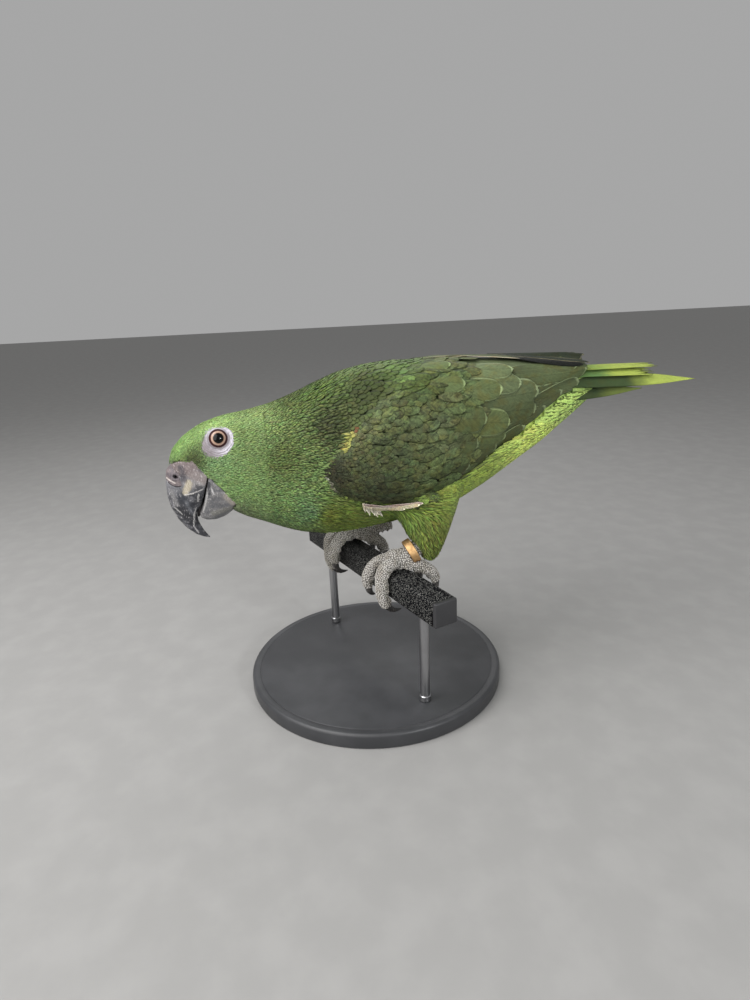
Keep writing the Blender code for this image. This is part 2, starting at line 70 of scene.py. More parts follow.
# Driving places of the bird, all worked out from the frame.
EYE_LOW, EYE_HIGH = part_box("eye_left")
EYE_AT = (Vector(EYE_LOW) + Vector(EYE_HIGH)) / 2
EYE_RADIUS = (EYE_HIGH[0] - EYE_LOW[0]) / 2
TUBE_TURN = math.radians(18.0)
TUBE_LOW, TUBE_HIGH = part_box("perch_bar")
TUBE_SIDE = TUBE_HIGH[2] - TUBE_LOW[2]
TUBE_AXIS_HEIGHT = (TUBE_HIGH[2] + TUBE_LOW[2]) / 2
ALONG = Vector((math.cos(TUBE_TURN), math.sin(TUBE_TURN), 0.0))
AHEAD = Vector((math.sin(TUBE_TURN), -math.cos(TUBE_TURN), 0.0))

FLESH_NODES = ("head", "neck", "trunk", "thigh_left", "thigh_right")
WING_NODES = ("wing_left", "wing_right")
TOES = ("front_outer", "front_inner", "back_outer", "back_inner")
FOOT_NODES = (
    "tarsus_left", "tarsus_right", *(f"toe_{side}_{toe}" for side in ("left", "right") for toe in TOES)
)


def ramp(low: float, high: float, values: Rows) -> Rows:
    """A smooth ramp from 0 at low to 1 at high, for a number or an array."""
    share = np.clip((values - low) / (high - low), 0.0, 1.0)
    return share * share * (3.0 - 2.0 * share)


# ---- shader maths


def _maths(operation: str, swapped: bool = False) -> Callable:
    """Makes a method of Value from one kind of Math node.

    Args:
        operation: The node's operation.
        swapped: Whether the value itself comes last.

    Returns:
        The method.
    """

    def method(self: "Value", *others: object) -> "Value":
        """Adds the node."""
        inputs = (*others, self) if swapped else (self, *others)
        return self.graph.node("Math", {"operation": operation}, dict(enumerate(inputs)))

    return method


class Value:
    """One shader value that can be used in ordinary arithmetic."""

    __add__, __radd__ = _maths("ADD"), _maths("ADD", True)
    __sub__, __rsub__ = _maths("SUBTRACT"), _maths("SUBTRACT", True)
    __mul__, __rmul__ = _maths("MULTIPLY"), _maths("MULTIPLY", True)
    __truediv__, __pow__, __abs__ = _maths("DIVIDE"), _maths("POWER"), _maths("ABSOLUTE")
    sine, largest, smallest = _maths("SINE"), _maths("MAXIMUM"), _maths("MINIMUM")

    def __init__(self, graph: "Graph", socket: Socket) -> None:
        """Wraps a socket of a graph."""
        self.graph = graph
        self.socket = socket

    def ramp(self, low: float, high: float, start: float = 0.0, end: float = 1.0) -> "Value":
        """A smooth ramp of the value, from start at low to end at high."""
        values = {0: self, 1: low, 2: high, 3: start, 4: end}
        return self.graph.node("MapRange", {"interpolation_type": "SMOOTHSTEP"}, values)


class Graph:
    """The node tree of one material, with its Principled shader."""

    def __init__(self, name: str) -> None:
        """Starts a material of that name."""
        self.material = bpy.data.materials.new(name)
        self.material.use_nodes = True
        self.tree = self.material.node_tree
        self.shader = self.tree.nodes["Principled BSDF"]

    def put(self, socket: Socket, value: object) -> None:
        """Links or sets one input.

        Args:
            socket: The input.
            value: A Value, a socket, a number or a row of numbers.
        """
        if isinstance(value, Value):
            value = value.socket
        if isinstance(value, Socket):
            self.tree.links.new(value, socket)
        elif isinstance(value, (tuple, list)) and len(value) == 3 and socket.type == "RGBA":
            socket.default_value = (*value, 1.0)
        else:
            socket.default_value = value

    def node(self, kind: str, settings: dict, inputs: dict, output: object = 0) -> Value:
        """Adds one node.

        Args:
            kind: The node's type, without its usual beginning.
            settings: Its own settings, set before its sockets.
            inputs: Values or links by socket name or number.
            output: The name or number of the output that is wanted.

        Returns:
            The output as a value.
        """
        made = self.tree.nodes.new("ShaderNode" + kind)
        for key, value in settings.items():
            setattr(made, key, value)
        for key, value in inputs.items():
            self.put(made.inputs[key], value)
        return Value(self, made.outputs[output])

    def attribute(self, name: str, output: str = "Color") -> Value:
        """A colour or number stored on the mesh."""
        return self.node("Attribute", {"attribute_name": name}, {}, output)

    def place(self) -> Value:
        """The point in the object's own coordinates, in metres."""
        return self.node("TexCoord", {}, {}, "Object")

    def parts(self, vector: Value) -> tuple[Value, Value, Value]:
        """The three numbers of a vector."""
        made = self.tree.nodes.new("ShaderNodeSeparateXYZ")
        self.put(made.inputs[0], vector)
        return tuple(Value(self, output) for output in made.outputs)

    def stretched(self, vector: Value, scale: Sequence[float], turn: Sequence[float] = (0, 0, 0)) -> Value:
        """A vector turned and scaled."""
        return self.node("Mapping", {}, {"Vector": vector, "Rotation": turn, "Scale": scale})

    def vector(self, x: object, y: object, z: object) -> Value:
        """A vector from three numbers."""
        return self.node("CombineXYZ", {}, {0: x, 1: y, 2: z})

    def noise(self, vector: Value, scale: float, detail: float = 3.0, roughness: float = 0.5) -> Value:
        """Smooth noise between 0 and 1."""
        inputs = {"Vector": vector, "Scale": scale, "Detail": detail, "Roughness": roughness}
        return self.node("TexNoise", {}, inputs)

    def cells(self, vector: Value, scale: float) -> Value:
        """Cellular noise."""
        return self.node("TexVoronoi", {}, {"Vector": vector, "Scale": scale})

    def mix(self, share: object, first: object, second: object, way: str = "MIX") -> Value:
        """Mixes two colours, share being how much of the second, by a blend type."""
        settings = {"data_type": "RGBA", "blend_type": way, "clamp_factor": True}
        return self.node("Mix", settings, {0: share, 6: first, 7: second}, 2)

    def scaled(self, colour: Value, factor: object) -> Value:
        """A colour made lighter or darker."""
        return self.node("VectorMath", {"operation": "SCALE"}, {0: colour, "Scale": factor})

    def bump(self, height: Value, strength: float, distance: float) -> None:
        """Feeds a height to the shader's normal."""
        inputs = {"Height": height, "Strength": strength, "Distance": distance}
        self.put(self.shader.inputs["Normal"], self.node("Bump", {}, inputs))

    def finish(self, **inputs: object) -> Material:
        """Sets the shader's inputs, whose names have underscores for spaces.

        Args:
            inputs: Values or links by socket name.

        Returns:
            The material.
        """
        for key, value in inputs.items():
            self.put(self.shader.inputs[key.replace("_", " ")], value)
        return self.material


# ---- mesh helpers


def placed(name: str, data: bpy.types.ID) -> Item:
    """Puts a mesh, lamp or camera in the scene, as an object at the origin."""
    made = bpy.data.objects.new(name, data)
    bpy.context.scene.collection.objects.link(made)
    return made


def dressed(name: str, bm: Form, finish: Material, turn_out: bool = True) -> Item:
    """Makes a shaded object from a bmesh.

    Args:
        name: Its name.
        bm: The bmesh, which is freed.
        finish: The material.
        turn_out: Whether to point the faces outwards first.

    Returns:
        The object.
    """
    if turn_out:
        bmesh.ops.remove_doubles(bm, verts=bm.verts, dist=0.002 * MM)
        bmesh.ops.recalc_face_normals(bm, faces=bm.faces)
    mesh = bpy.data.meshes.new(name)
    bm.to_mesh(mesh)
    bm.free()
    mesh.shade_smooth()
    mesh.materials.append(finish)
    return placed(name, mesh)


def node_copy(*names: str) -> Form:
    """Copies CAD nodes into one bmesh and merges their loose triangles.

    Args:
        names: The nodes.

    Returns:
        The bmesh.
    """
    bm = bmesh.new()
    for name in names:
        bm.from_mesh(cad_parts[name].data)
    bmesh.ops.remove_doubles(bm, verts=bm.verts, dist=0.01 * MM)
    return bm


def join(part: Form, bm: Form) -> None:
    """Adds one bmesh to another, and frees it.

    Args:
        part: What is added.
        bm: What it is added to.
    """
    spare = bpy.data.meshes.new("part")
    part.to_mesh(spare)
    part.free()
    bm.from_mesh(spare)
    bpy.data.meshes.remove(spare)


def grown(bm: Form, by: object) -> None:
    """Moves a bmesh's surface out along its normals.

    Args:
        bm: The bmesh.
        by: How far in metres, or a function that says it for each vertex.
    """
    bm.normal_update()
    moves = [v.normal * (by(v) if callable(by) else by) for v in bm.verts]
    for vert, move in zip(bm.verts, moves):
        vert.co += move


def spun(places: Sequence[Sequence[float]], steps: int) -> Form:
    """Turns a line of places round the vertical axis.

    Args:
        places: The line, in mm.
        steps: Faces round it.

    Returns:
        The bmesh.
    """
    bm = bmesh.new()
    line = [bm.verts.new(Vector(place) * MM) for place in places]
    edges = [bm.edges.new(pair) for pair in zip(line, line[1:])]
    bmesh.ops.spin(
        bm, geom=[*line, *edges], axis=(0, 0, 1), cent=(0, 0, 0), angle=math.tau, steps=steps, use_merge=True
    )
    return bm


def point_tree(points: Rows) -> KDTree:
    """A tree in which neighbours of places are found."""
    tree = KDTree(len(points))
    for index, point in enumerate(points.tolist()):
        tree.insert(point, index)
    tree.balance()
    return tree


def remeshed(bm: Form, voxel: float, smoothing: int) -> Form:
    """Fuses closed forms into one even mesh.

    Args:
        bm: The forms, which are freed.
        voxel: The size of its faces, in metres.
        smoothing: How many times it is smoothed.

    Returns:
        The new bmesh.
    """
    mesh = bpy.data.meshes.new("rough_form")
    bm.to_mesh(mesh)
    bm.free()
    item = placed("rough_form", mesh)
    step = item.modifiers.new("fuse", "REMESH")
    step.mode = "VOXEL"
    step.voxel_size = voxel
    graph = bpy.context.evaluated_depsgraph_get()
    fused = bpy.data.meshes.new_from_object(item.evaluated_get(graph))
    made = bmesh.new()
    made.from_mesh(fused)
    bpy.data.objects.remove(item)
    bpy.data.meshes.remove(mesh)
    bpy.data.meshes.remove(fused)
    for _ in range(smoothing):
        bmesh.ops.smooth_vert(
            made, verts=made.verts, factor=0.5, use_axis_x=True, use_axis_y=True, use_axis_z=True
        )
    return made


class Surface:
    """A closed form as arrays, on which points and their normals are found."""

    TRIES = 7.0  # places tried for each one that is wanted
    NEARNESS = 0.93  # how much nearer than their pitch two places may lie

    def __init__(self, bm: Form) -> None:
        """Reads the bmesh, and leaves it alone."""
        bm.normal_update()
        bm.verts.ensure_lookup_table()
        self.points = np.array([tuple(v.co) for v in bm.verts])
        self.normals = np.array([tuple(v.normal) for v in bm.verts])
        loops = bm.calc_loop_triangles()
        self.triangles = np.array([[loop.vert.index for loop in triangle] for triangle in loops])
        self.tree = BVHTree.FromPolygons(self.points.tolist(), self.triangles.tolist())

    def nearest(self, points: Rows) -> tuple[Rows, Rows]:
        """Finds the closest places on the surface.

        Args:
            points: Rows of x, y, z in metres.

        Returns:
            The places and their smooth normals.
        """
        found = [self.tree.find_nearest(point) for point in points.tolist()]
        places = np.array([tuple(hit[0]) for hit in found])
        corners = self.triangles[[hit[2] for hit in found]]
        a, b, c = (self.points[corners[:, k]] for k in range(3))
        whole = np.maximum(np.linalg.norm(np.cross(b - a, c - a), axis=1), 1e-14)
        share_b = np.linalg.norm(np.cross(places - a, c - a), axis=1) / whole
        share_c = np.linalg.norm(np.cross(b - a, places - a), axis=1) / whole
        shares = (np.clip(1.0 - share_b - share_c, 0.0, 1.0), share_b, share_c)
        blend = sum(share[:, None] * self.normals[corners[:, k]] for k, share in enumerate(shares))
        return places, unit(blend)

    def distance(self, points: Rows) -> Rows:
        """How far each point is from the surface."""
        return np.array([self.tree.find_nearest(point)[3] for point in points.tolist()])

    def seeds(self, pitch: Callable, keep: Callable, rng: np.random.Generator) -> Rows:
        """Scatters points evenly, at a distance that changes over the surface.

        Args:
            pitch: Gives the distance wanted at rows of points, in metres.
            keep: Says which rows of points may be used.
            rng: Random numbers.

        Returns:
            The points.
        """
        corners = self.points[self.triangles]
        middles = corners.mean(axis=1)
        edges = corners[:, 1:] - corners[:, :1]
        areas = np.linalg.norm(np.cross(edges[:, 0], edges[:, 1]), axis=1) / 2
        wanted = areas * keep(middles) / pitch(middles) ** 2
        count = int(wanted.sum() * self.TRIES)
        picks = rng.choice(len(areas), size=count, p=wanted / wanted.sum())
        shares = rng.random((count, 2))
        over = shares.sum(axis=1) > 1.0
        shares[over] = 1.0 - shares[over]
        points = corners[picks, 0] + shares[:, :1] * edges[picks, 0] + shares[:, 1:] * edges[picks, 1]
        tree = point_tree(points)
        gaps = (pitch(points) * self.NEARNESS).tolist()
        free = np.ones(count, dtype=bool)
        taken = []
        for index, point in enumerate(points.tolist()):
            if free[index]:
                taken.append(index)
                for _, other, _ in tree.find_range(point, gaps[index]):
                    free[other] = False
        return points[taken]


def column(items: Sequence[object], name: str) -> Rows:
    """One field of many things, in rows."""
    return np.array([getattr(item, name) for item in items], dtype=float)


def in_mm(points: Rows) -> tuple[Rows, Rows, Rows]:
    """Places in mm, as x, y and z apart."""
    return tuple(points.T / MM)


def mirrored(points: Rows) -> Rows:
    """Places as they lie on the bird's left side."""
    return np.column_stack((np.abs(points[:, 0]), points[:, 1:]))


def toned(tints: Rows, colour: Colour, share: Rows) -> Rows:
    """Colours mixed with one colour, by a share for each."""
    return tints * (1.0 - share[:, None]) + np.array(colour) * share[:, None]


def unit(rows: Rows) -> Rows:
    """Rows of vectors at length one."""
    return rows / np.maximum(np.linalg.norm(rows, axis=-1, keepdims=True), 1e-12)


# ---- the markings


@dataclass(frozen=True)
class Marking:
    """The colour of the plumage round one place of the bird's left side."""

    place: Place  # mm
    colour: Colour


@dataclass(frozen=True)
class Fleck:
    """A narrow patch of another colour along a line of the wing, seen from the side."""

    start: Spot
    end: Spot
    reach: float  # mm
    colour: Colour

    def share(self, points: Rows) -> Rows:
        """How much of the fleck's colour lies at each place."""
        flat, way = points[:, 1:] / MM - np.array(self.start), np.array(self.end) - np.array(self.start)
        along = np.clip(flat @ way / (way @ way), 0.0, 1.0)
        off = np.linalg.norm(flat - along[:, None] * way, axis=1)
        return ramp(self.reach * 1.3, self.reach * 0.7, off)


class Markings:
    """Colours that both the skin and the coat take from the same places."""

    BODY = (
        Marking((6, -108, 174), (0.37, 0.6, 0.2)),  # forehead
        Marking((8, -92, 190), (0.43, 0.64, 0.23)),  # crown
        Marking((15, -103, 166), (0.078, 0.1, 0.034)),  # lore
        Marking((20, -92, 162), (0.245, 0.4, 0.165)),  # under the eye
        Marking((21, -80, 150), (0.255, 0.41, 0.145)),  # cheek
        Marking((20, -72, 175), (0.215, 0.325, 0.115)),  # ear
        Marking((8, -84, 134), (0.2, 0.25, 0.135)),  # chin
        Marking((10, -66, 192), (0.32, 0.45, 0.165)),  # nape
        Marking((13, -48, 201), (0.115, 0.16, 0.042)),
        Marking((28, -52, 165), (0.125, 0.175, 0.05)),  # side of the neck
        Marking((24, -50, 135), (0.215, 0.34, 0.115)),  # breast
        Marking((12, -30, 206), (0.1, 0.17, 0.03)),  # mantle
        Marking((27, -2, 200), (0.038, 0.053, 0.011)),
        Marking((32, -22, 185), (0.056, 0.072, 0.022)),  # shoulder
        Marking((28, -41, 129), (0.16, 0.3, 0.125)),
        Marking((29, -28, 124), (0.175, 0.225, 0.032)),
        Marking((24, -20, 122), (0.2, 0.268, 0.047)),  # belly
        Marking((30, 15, 120), (0.19, 0.29, 0.052)),  # flank
        Marking((30, 35, 108), (0.195, 0.246, 0.05)),  # thigh
        Marking((10, 30, 216), (0.092, 0.15, 0.038)),  # back
        Marking((10, 60, 142), (0.3, 0.42, 0.07)),  # vent
        Marking((10, 110, 160), (0.68, 0.86, 0.19)),  # under the tail
        # Painted shade: the next two make the green rump, and the place behind it, near-black green where
        # they lie in shade.
        Marking((5, 120, 205), (0.045, 0.07, 0.018)),  # rump, painted shade
        Marking((0, 150, 209), (0.03, 0.045, 0.014)),
        Marking((10, 132, 182), (0.47, 0.68, 0.18)),  # under the tail's root
    )
    WING = (
        Marking((35, -29, 158), (0.022, 0.024, 0.011)),  # wrist
        Marking((38, -15, 176), (0.075, 0.091, 0.036)),
        Marking((40, 5, 142), (0.031, 0.04, 0.017)),  # lower front
        Marking((43, 10, 165), (0.056, 0.075, 0.029)),
        Marking((40, 15, 190), (0.066, 0.089, 0.032)),
        Marking((30, 25, 208), (0.052, 0.077, 0.018)),  # scapulars
        Marking((40, 40, 150), (0.066, 0.092, 0.032)),
        Marking((40, 42, 175), (0.085, 0.108, 0.045)),
        Marking((30, 60, 195), (0.085, 0.115, 0.043)),
        Marking((25, 85, 180), (0.12, 0.155, 0.058)),
        Marking((20, 100, 200), (0.1, 0.128, 0.06)),
    )
    FLECKS = (
        Fleck((-12.4, 179), (-18.2, 169.5), 1.4, (0.28, 0.275, 0.07)),  # yellow bend of the wing
        Fleck((-11.6, 179.8), (-10.4, 180.2), 0.9, (0.16, 0.06, 0.022)),
        Fleck((-30, 153.6), (-24.8, 143.4), 0.6, (0.22, 0.21, 0.16)),  # pale wrist margin
    )
    FALLOFF = 3.2
    REACH = 2.0  # mm, within which a marking rules

    def colours(self, points: Rows, on_wing: Rows) -> Rows:
        """Blends the nearby markings.

        Args:
            points: Places, in metres.
            on_wing: How much each belongs to a wing, 0 to 1.

        Returns:
            The colours.
        """
        body = self._blend(self.BODY, points)
        wing = self._blend(self.WING, points)
        colours = body + (wing - body) * on_wing[:, None]
        outside = ramp(24 * MM, 28 * MM, np.abs(points[:, 0]))
        for fleck in self.FLECKS:
            colours = toned(colours, fleck.colour, outside * fleck.share(points))
        return colours

    def _blend(self, markings: Sequence[Marking], points: Rows) -> Rows:
        """Weighs one set of markings by nearness.

        Args:
            markings: The set.
            points: Places, in metres.

        Returns:
            The colours.
        """
        near = mirrored(points) / MM
        reach = np.linalg.norm(near[:, None, :] - column(markings, "place")[None], axis=2) + self.REACH
        weights = reach**-self.FALLOFF
        total = (weights[:, :, None] * column(markings, "colour")).sum(axis=1)
        return total / weights.sum(axis=1, keepdims=True)


# ---- the coat's vanes


@dataclass(frozen=True)
class VaneForm:
    """How one kind of feather is shaped: sizes are shares of its length or half width."""

    stations: tuple[float, ...]  # along it, from the root to the tip
    widths: tuple[float, ...]  # half width at each, as a share of the full one
    columns: int = 3
    rounding: float = 0.12  # how much shorter the edges are than the middle
    ragged: float = 0.05  # how unevenly it ends
    camber: float = 0.12  # how far the edges bend down
    thickness: float = 0.16 * MM
    draped: bool = False  # whether each column follows the form below


SMALL_VANE = VaneForm((0.0, 0.62, 1.0), (0.7, 1.0, 0.32), ragged=0.10, camber=0.06, thickness=0.06 * MM)
FINE_VANE = VaneForm(
    (0.0, 0.4, 0.72, 0.9, 1.0), (0.5, 0.95, 1.0, 0.80, 0.42), 5, 0.10, 0.03, 0.06, 0.10 * MM
)
HAIR_VANE = VaneForm((0.0, 0.6, 1.0), (0.7, 1.0, 0.14), ragged=0.05, camber=0.2, thickness=0.08 * MM)
COVERT_VANE = VaneForm(
    (0.0, 0.3, 0.55, 0.75, 0.88, 0.96, 1.0), (0.45, 0.88, 1.0, 0.96, 0.78, 0.52, 0.26), 7, 0.05, 0.018,
    0.04, 0.05 * MM, draped=True,
)
QUILL_VANE = VaneForm(
    (0.0, 0.12, 0.25, 0.4, 0.55, 0.68, 0.79, 0.87, 0.93, 0.97, 1.0),
    (0.5, 0.75, 0.92, 1.0, 1.0, 0.99, 0.94, 0.84, 0.68, 0.50, 0.30), 9, 0.03, 0.006, 0.08, 0.12 * MM,
    draped=True,
)
FLUFF_VANE = VaneForm((0.0, 0.4, 0.75, 1.0), (0.8, 1.0, 0.75, 0.12), 3, 0.0, 0.05, 0.04, 0.05 * MM, True)


@dataclass
class Plumes:
    """Rows of feathers that are still numbers: one row for each feather."""

    roots: Rows
    lies: Rows
    lengths: Rows
    widths: Rows
    depths: Rows
    lifts: Rows
    tints: Rows
    fringes: Rows

    @classmethod
    def between(cls, roots: Rows, tips: Rows, widths: Rows, tints: Rows, fringes: Rows) -> "Plumes":
        """Feathers from their roots to their tips, none of them sunk in or lifted; widths are in mm."""
        ways, none = tips - roots, np.zeros(len(roots))
        return cls(roots, unit(ways), np.linalg.norm(ways, axis=1), widths * MM, none, none, tints, fringes)


class Coat:
    """One coat piece: many thin closed vanes in one mesh, laid over a surface."""

    PATCH = 0.003  # how wide each vane's place is on the OFBake map

    def __init__(self, name: str, surface: Surface, rng: np.random.Generator, material: Material) -> None:
        """Starts an empty piece over a surface."""
        self.name, self.surface, self.rng, self.material = name, surface, rng, material
        self.rows: dict[str, list[Rows]] = defaultdict(list)
        self.count = 0

    def add(self, **rows: Rows) -> None:
        """Adds rows of numbers: points, vane places, map patches, roots, colours or faces."""
        for key, values in rows.items():
            self.rows[key].append(values.reshape(-1, values.shape[-1]))

    def lay(self, plumes: Plumes, form: VaneForm) -> None:
        """Lays feathers along the surface, each from its root over those behind it.

        Args:
            plumes: The feathers.
            form: Their kind.
        """
        stations = np.array(form.stations)
        heading = plumes.lies
        place, normal = self.surface.nearest(plumes.roots)
        centres, normals, sides = [], [], []
        for index in range(len(stations)):
            if index:
                step = plumes.lengths * (stations[index] - stations[index - 1])
                place, normal = self.surface.nearest(place + heading * step[:, None])
            heading = unit(heading - normal * (heading * normal).sum(axis=1)[:, None])
            centres.append(place)
            normals.append(normal)
            sides.append(np.cross(heading, normal))
        self._build(plumes, form, np.array(centres), np.array(normals), np.array(sides))

    def span(self, plumes: Plumes, form: VaneForm, ends: Rows, facing: Rows, sag: Rows) -> None:
        """Builds long feathers that run free from root to tip, off the surface.

        Args:
            plumes: The feathers.
            form: Their kind.
            ends: Their tips.
            facing: Which way their upper faces look.
            sag: How far the middle of each lies off the straight line, along its facing.
        """
        stations = np.array(form.stations)[:, None, None]
        centres = plumes.roots + (ends - plumes.roots) * stations
        centres = centres + facing * sag[:, None] * (4.0 * stations * (1.0 - stations))
        heading = np.gradient(centres, axis=0)
        sides = unit(np.cross(unit(heading), facing[None]))
        normals = np.cross(sides, unit(heading))
        self._build(plumes, form, centres, normals, sides)

    def _build(self, plumes: Plumes, form: VaneForm, centres: Rows, normals: Rows, sides: Rows) -> None:
        """Makes the vanes' meshes round their centre lines.

        Args:
            plumes: The feathers.
            form: Their kind.
            centres: Points by station and feather.
            normals: The way out at each.
            sides: The way across at each.
        """
        rows, total = len(form.stations), len(plumes.roots)
        across = np.linspace(-1.0, 1.0, form.columns)
        stations, shares = np.array(form.stations), np.array(form.widths)
        uneven = self.rng.normal(0.0, form.ragged, (rows, total, form.columns)) * (stations**3)[:, None, None]
        back = form.rounding * across**2 * (stations**2)[:, None, None] - uneven
        heading = unit(np.gradient(centres, axis=0))
        half = shares[:, None] * plumes.widths / 2
        offset = across * half[:, :, None]
        base = (
            centres[:, :, None]
            + sides[:, :, None] * offset[..., None]
            - heading[:, :, None] * (back * plumes.lengths[:, None])[..., None]
        )
        out = np.broadcast_to(normals[:, :, None], base.shape)
        if form.draped:
            flat, over = self.surface.nearest(base.reshape(-1, 3))
            base, out = flat.reshape(base.shape), over.reshape(base.shape)
        rise = plumes.lifts * stations[:, None] - plumes.depths * (1.0 - stations)[:, None]
        camber = form.camber * across**2 * half[:, :, None]
        twist = self.rng.normal(0.0, 0.05, (1, total, 1)) * offset
        top = base + out * (rise[:, :, None] - camber + twist)[..., None]
        under = top[:, :, 1:-1] - out[:, :, 1:-1] * form.thickness
        vane = np.zeros((total, rows, 2 * form.columns - 2, 3))
        vane[..., 0] = np.concatenate((across, across[1:-1]))
        vane[..., 1] = stations[None, :, None]
        vane[..., 2] = plumes.lengths[:, None, None] / MM
        self.add(
            points=np.concatenate((top, under), axis=2).transpose(1, 0, 2, 3), vanes=vane,
            patches=np.stack((vane[..., 0] / 2, vane[..., 1] - 0.5), axis=-1) * self.PATCH,
        )
        self.spread(rows * vane.shape[2], tints=plumes.tints, fringes=plumes.fringes, roots=plumes.roots)
        self._add_faces(form.columns, rows, total)

    def spread(self, each: int, **rows: Rows) -> None:
        """Gives every point of each form what is said once for the form."""
        self.add(**{key: np.repeat(values, each, axis=0) for key, values in rows.items()})

    def _add_faces(self, columns: int, rows: int, total: int) -> None:
        """Adds the faces of vanes that all have the same form.

        Args:
            columns: Points across the upper side.
            rows: Points along it.
            total: How many vanes there are.
        """
        width = 2 * columns - 2
        above = list(range(columns))
        below = [0, *range(columns, width), columns - 1]
        faces = []
        for row in range(rows - 1):
            here, after = row * width, (row + 1) * width
            for k in range(columns - 1):
                faces.append((here + above[k], here + above[k + 1], after + above[k + 1], after + above[k]))
                faces.append((here + below[k + 1], here + below[k], after + below[k], after + below[k + 1]))
        last = (rows - 1) * width
        for k in range(1, columns - 2):
            faces.append((above[k + 1], above[k], below[k], below[k + 1]))
            faces.append((last + above[k], last + above[k + 1], last + below[k + 1], last + below[k]))
        ends = (0, 1, columns), (columns - 2, columns - 1, width - 1)
        for left, right, lower in ends:
            faces.append((right, left, lower, -1))
            faces.append((last + left, last + right, last + lower, -1))
        self.repeat(np.array(faces), total, rows * width)

    def repeat(self, faces: Rows, total: int, width: int) -> None:
        """Adds the faces of many small forms that are all built alike.

        Args:
            faces: The corners of one form's faces, -1 for a fourth that is missing.
            total: How many forms there are.
            width: How many points each has.
        """
        shift = (np.arange(total) * width)[:, None, None] + self.count
        self.add(faces=np.where(faces[None] < 0, -1, faces[None] + shift))
        self.count += total * width

    def finish(self, slot: str, *nodes: str) -> None:
        """Turns the vanes into one object.

        Args:
            slot: A slot's name, handed on to settle.
            nodes: The CAD nodes that it replaces.
        """
        whole = {key: np.concatenate(rows) for key, rows in self.rows.items()}
        points, faces = whole["points"], whole["faces"]
        corners = faces[faces >= 0]
        sizes = (faces >= 0).sum(axis=1)
        mesh = bpy.data.meshes.new(self.name)
        mesh.vertices.add(len(points))
        mesh.vertices.foreach_set("co", points.ravel())
        mesh.loops.add(len(corners))
        mesh.loops.foreach_set("vertex_index", corners)
        mesh.polygons.add(len(faces))
        mesh.polygons.foreach_set("loop_start", np.concatenate(([0], np.cumsum(sizes)[:-1])))
        mesh.update(calc_edges=True)
        mesh.validate()
        mesh.shade_smooth()
        write_colours(mesh, "tint", whole["tints"])
        write_colours(mesh, "fringe", whole["fringes"])
        vanes = mesh.attributes.new("vane", "FLOAT_VECTOR", "POINT")
        vanes.data.foreach_set("vector", whole["vanes"].ravel())
        places = self._unrolled(whole["roots"]) + whole["patches"]
        layer = mesh.uv_layers.new(name="OFBake")
        layer.data.foreach_set("uv", places[corners].ravel())
        mesh.materials.append(self.material)
        settle(placed(self.name, mesh), slot, *nodes)

    @staticmethod
    def _unrolled(roots: Rows) -> Rows:
        """Roots unrolled round the bird's long axis, so that they fill the whole map."""
        flat = np.column_stack((np.arctan2(roots[:, 0], roots[:, 2] - BODY_AXIS_HEIGHT * MM), roots[:, 1]))
        shares = (flat - flat.min(axis=0)) / np.maximum(np.ptp(flat, axis=0), 1e-6)
        return MAP_MARGIN + (1.0 - 2.0 * MAP_MARGIN) * shares


def write_colours(mesh: bpy.types.Mesh, name: str, rows: Rows) -> None:
    """Stores one colour for each vertex.

    Args:
        mesh: The mesh.
        name: The attribute's name.
        rows: The colours, with or without a fourth number.
    """
    if rows.shape[1] == 3:
        rows = np.column_stack((rows, np.ones(len(rows))))
    mesh.attributes.new(name, "FLOAT_COLOR", "POINT").data.foreach_set("color", rows.ravel())


# ---- finishes


@dataclass(frozen=True)
class Finish:
    """One finish: its name, and the shader that it makes."""

    name: str

    def material(self) -> Material:
        """Makes the material."""
        graph = Graph(self.name)
        return self.fill(graph, graph.place())


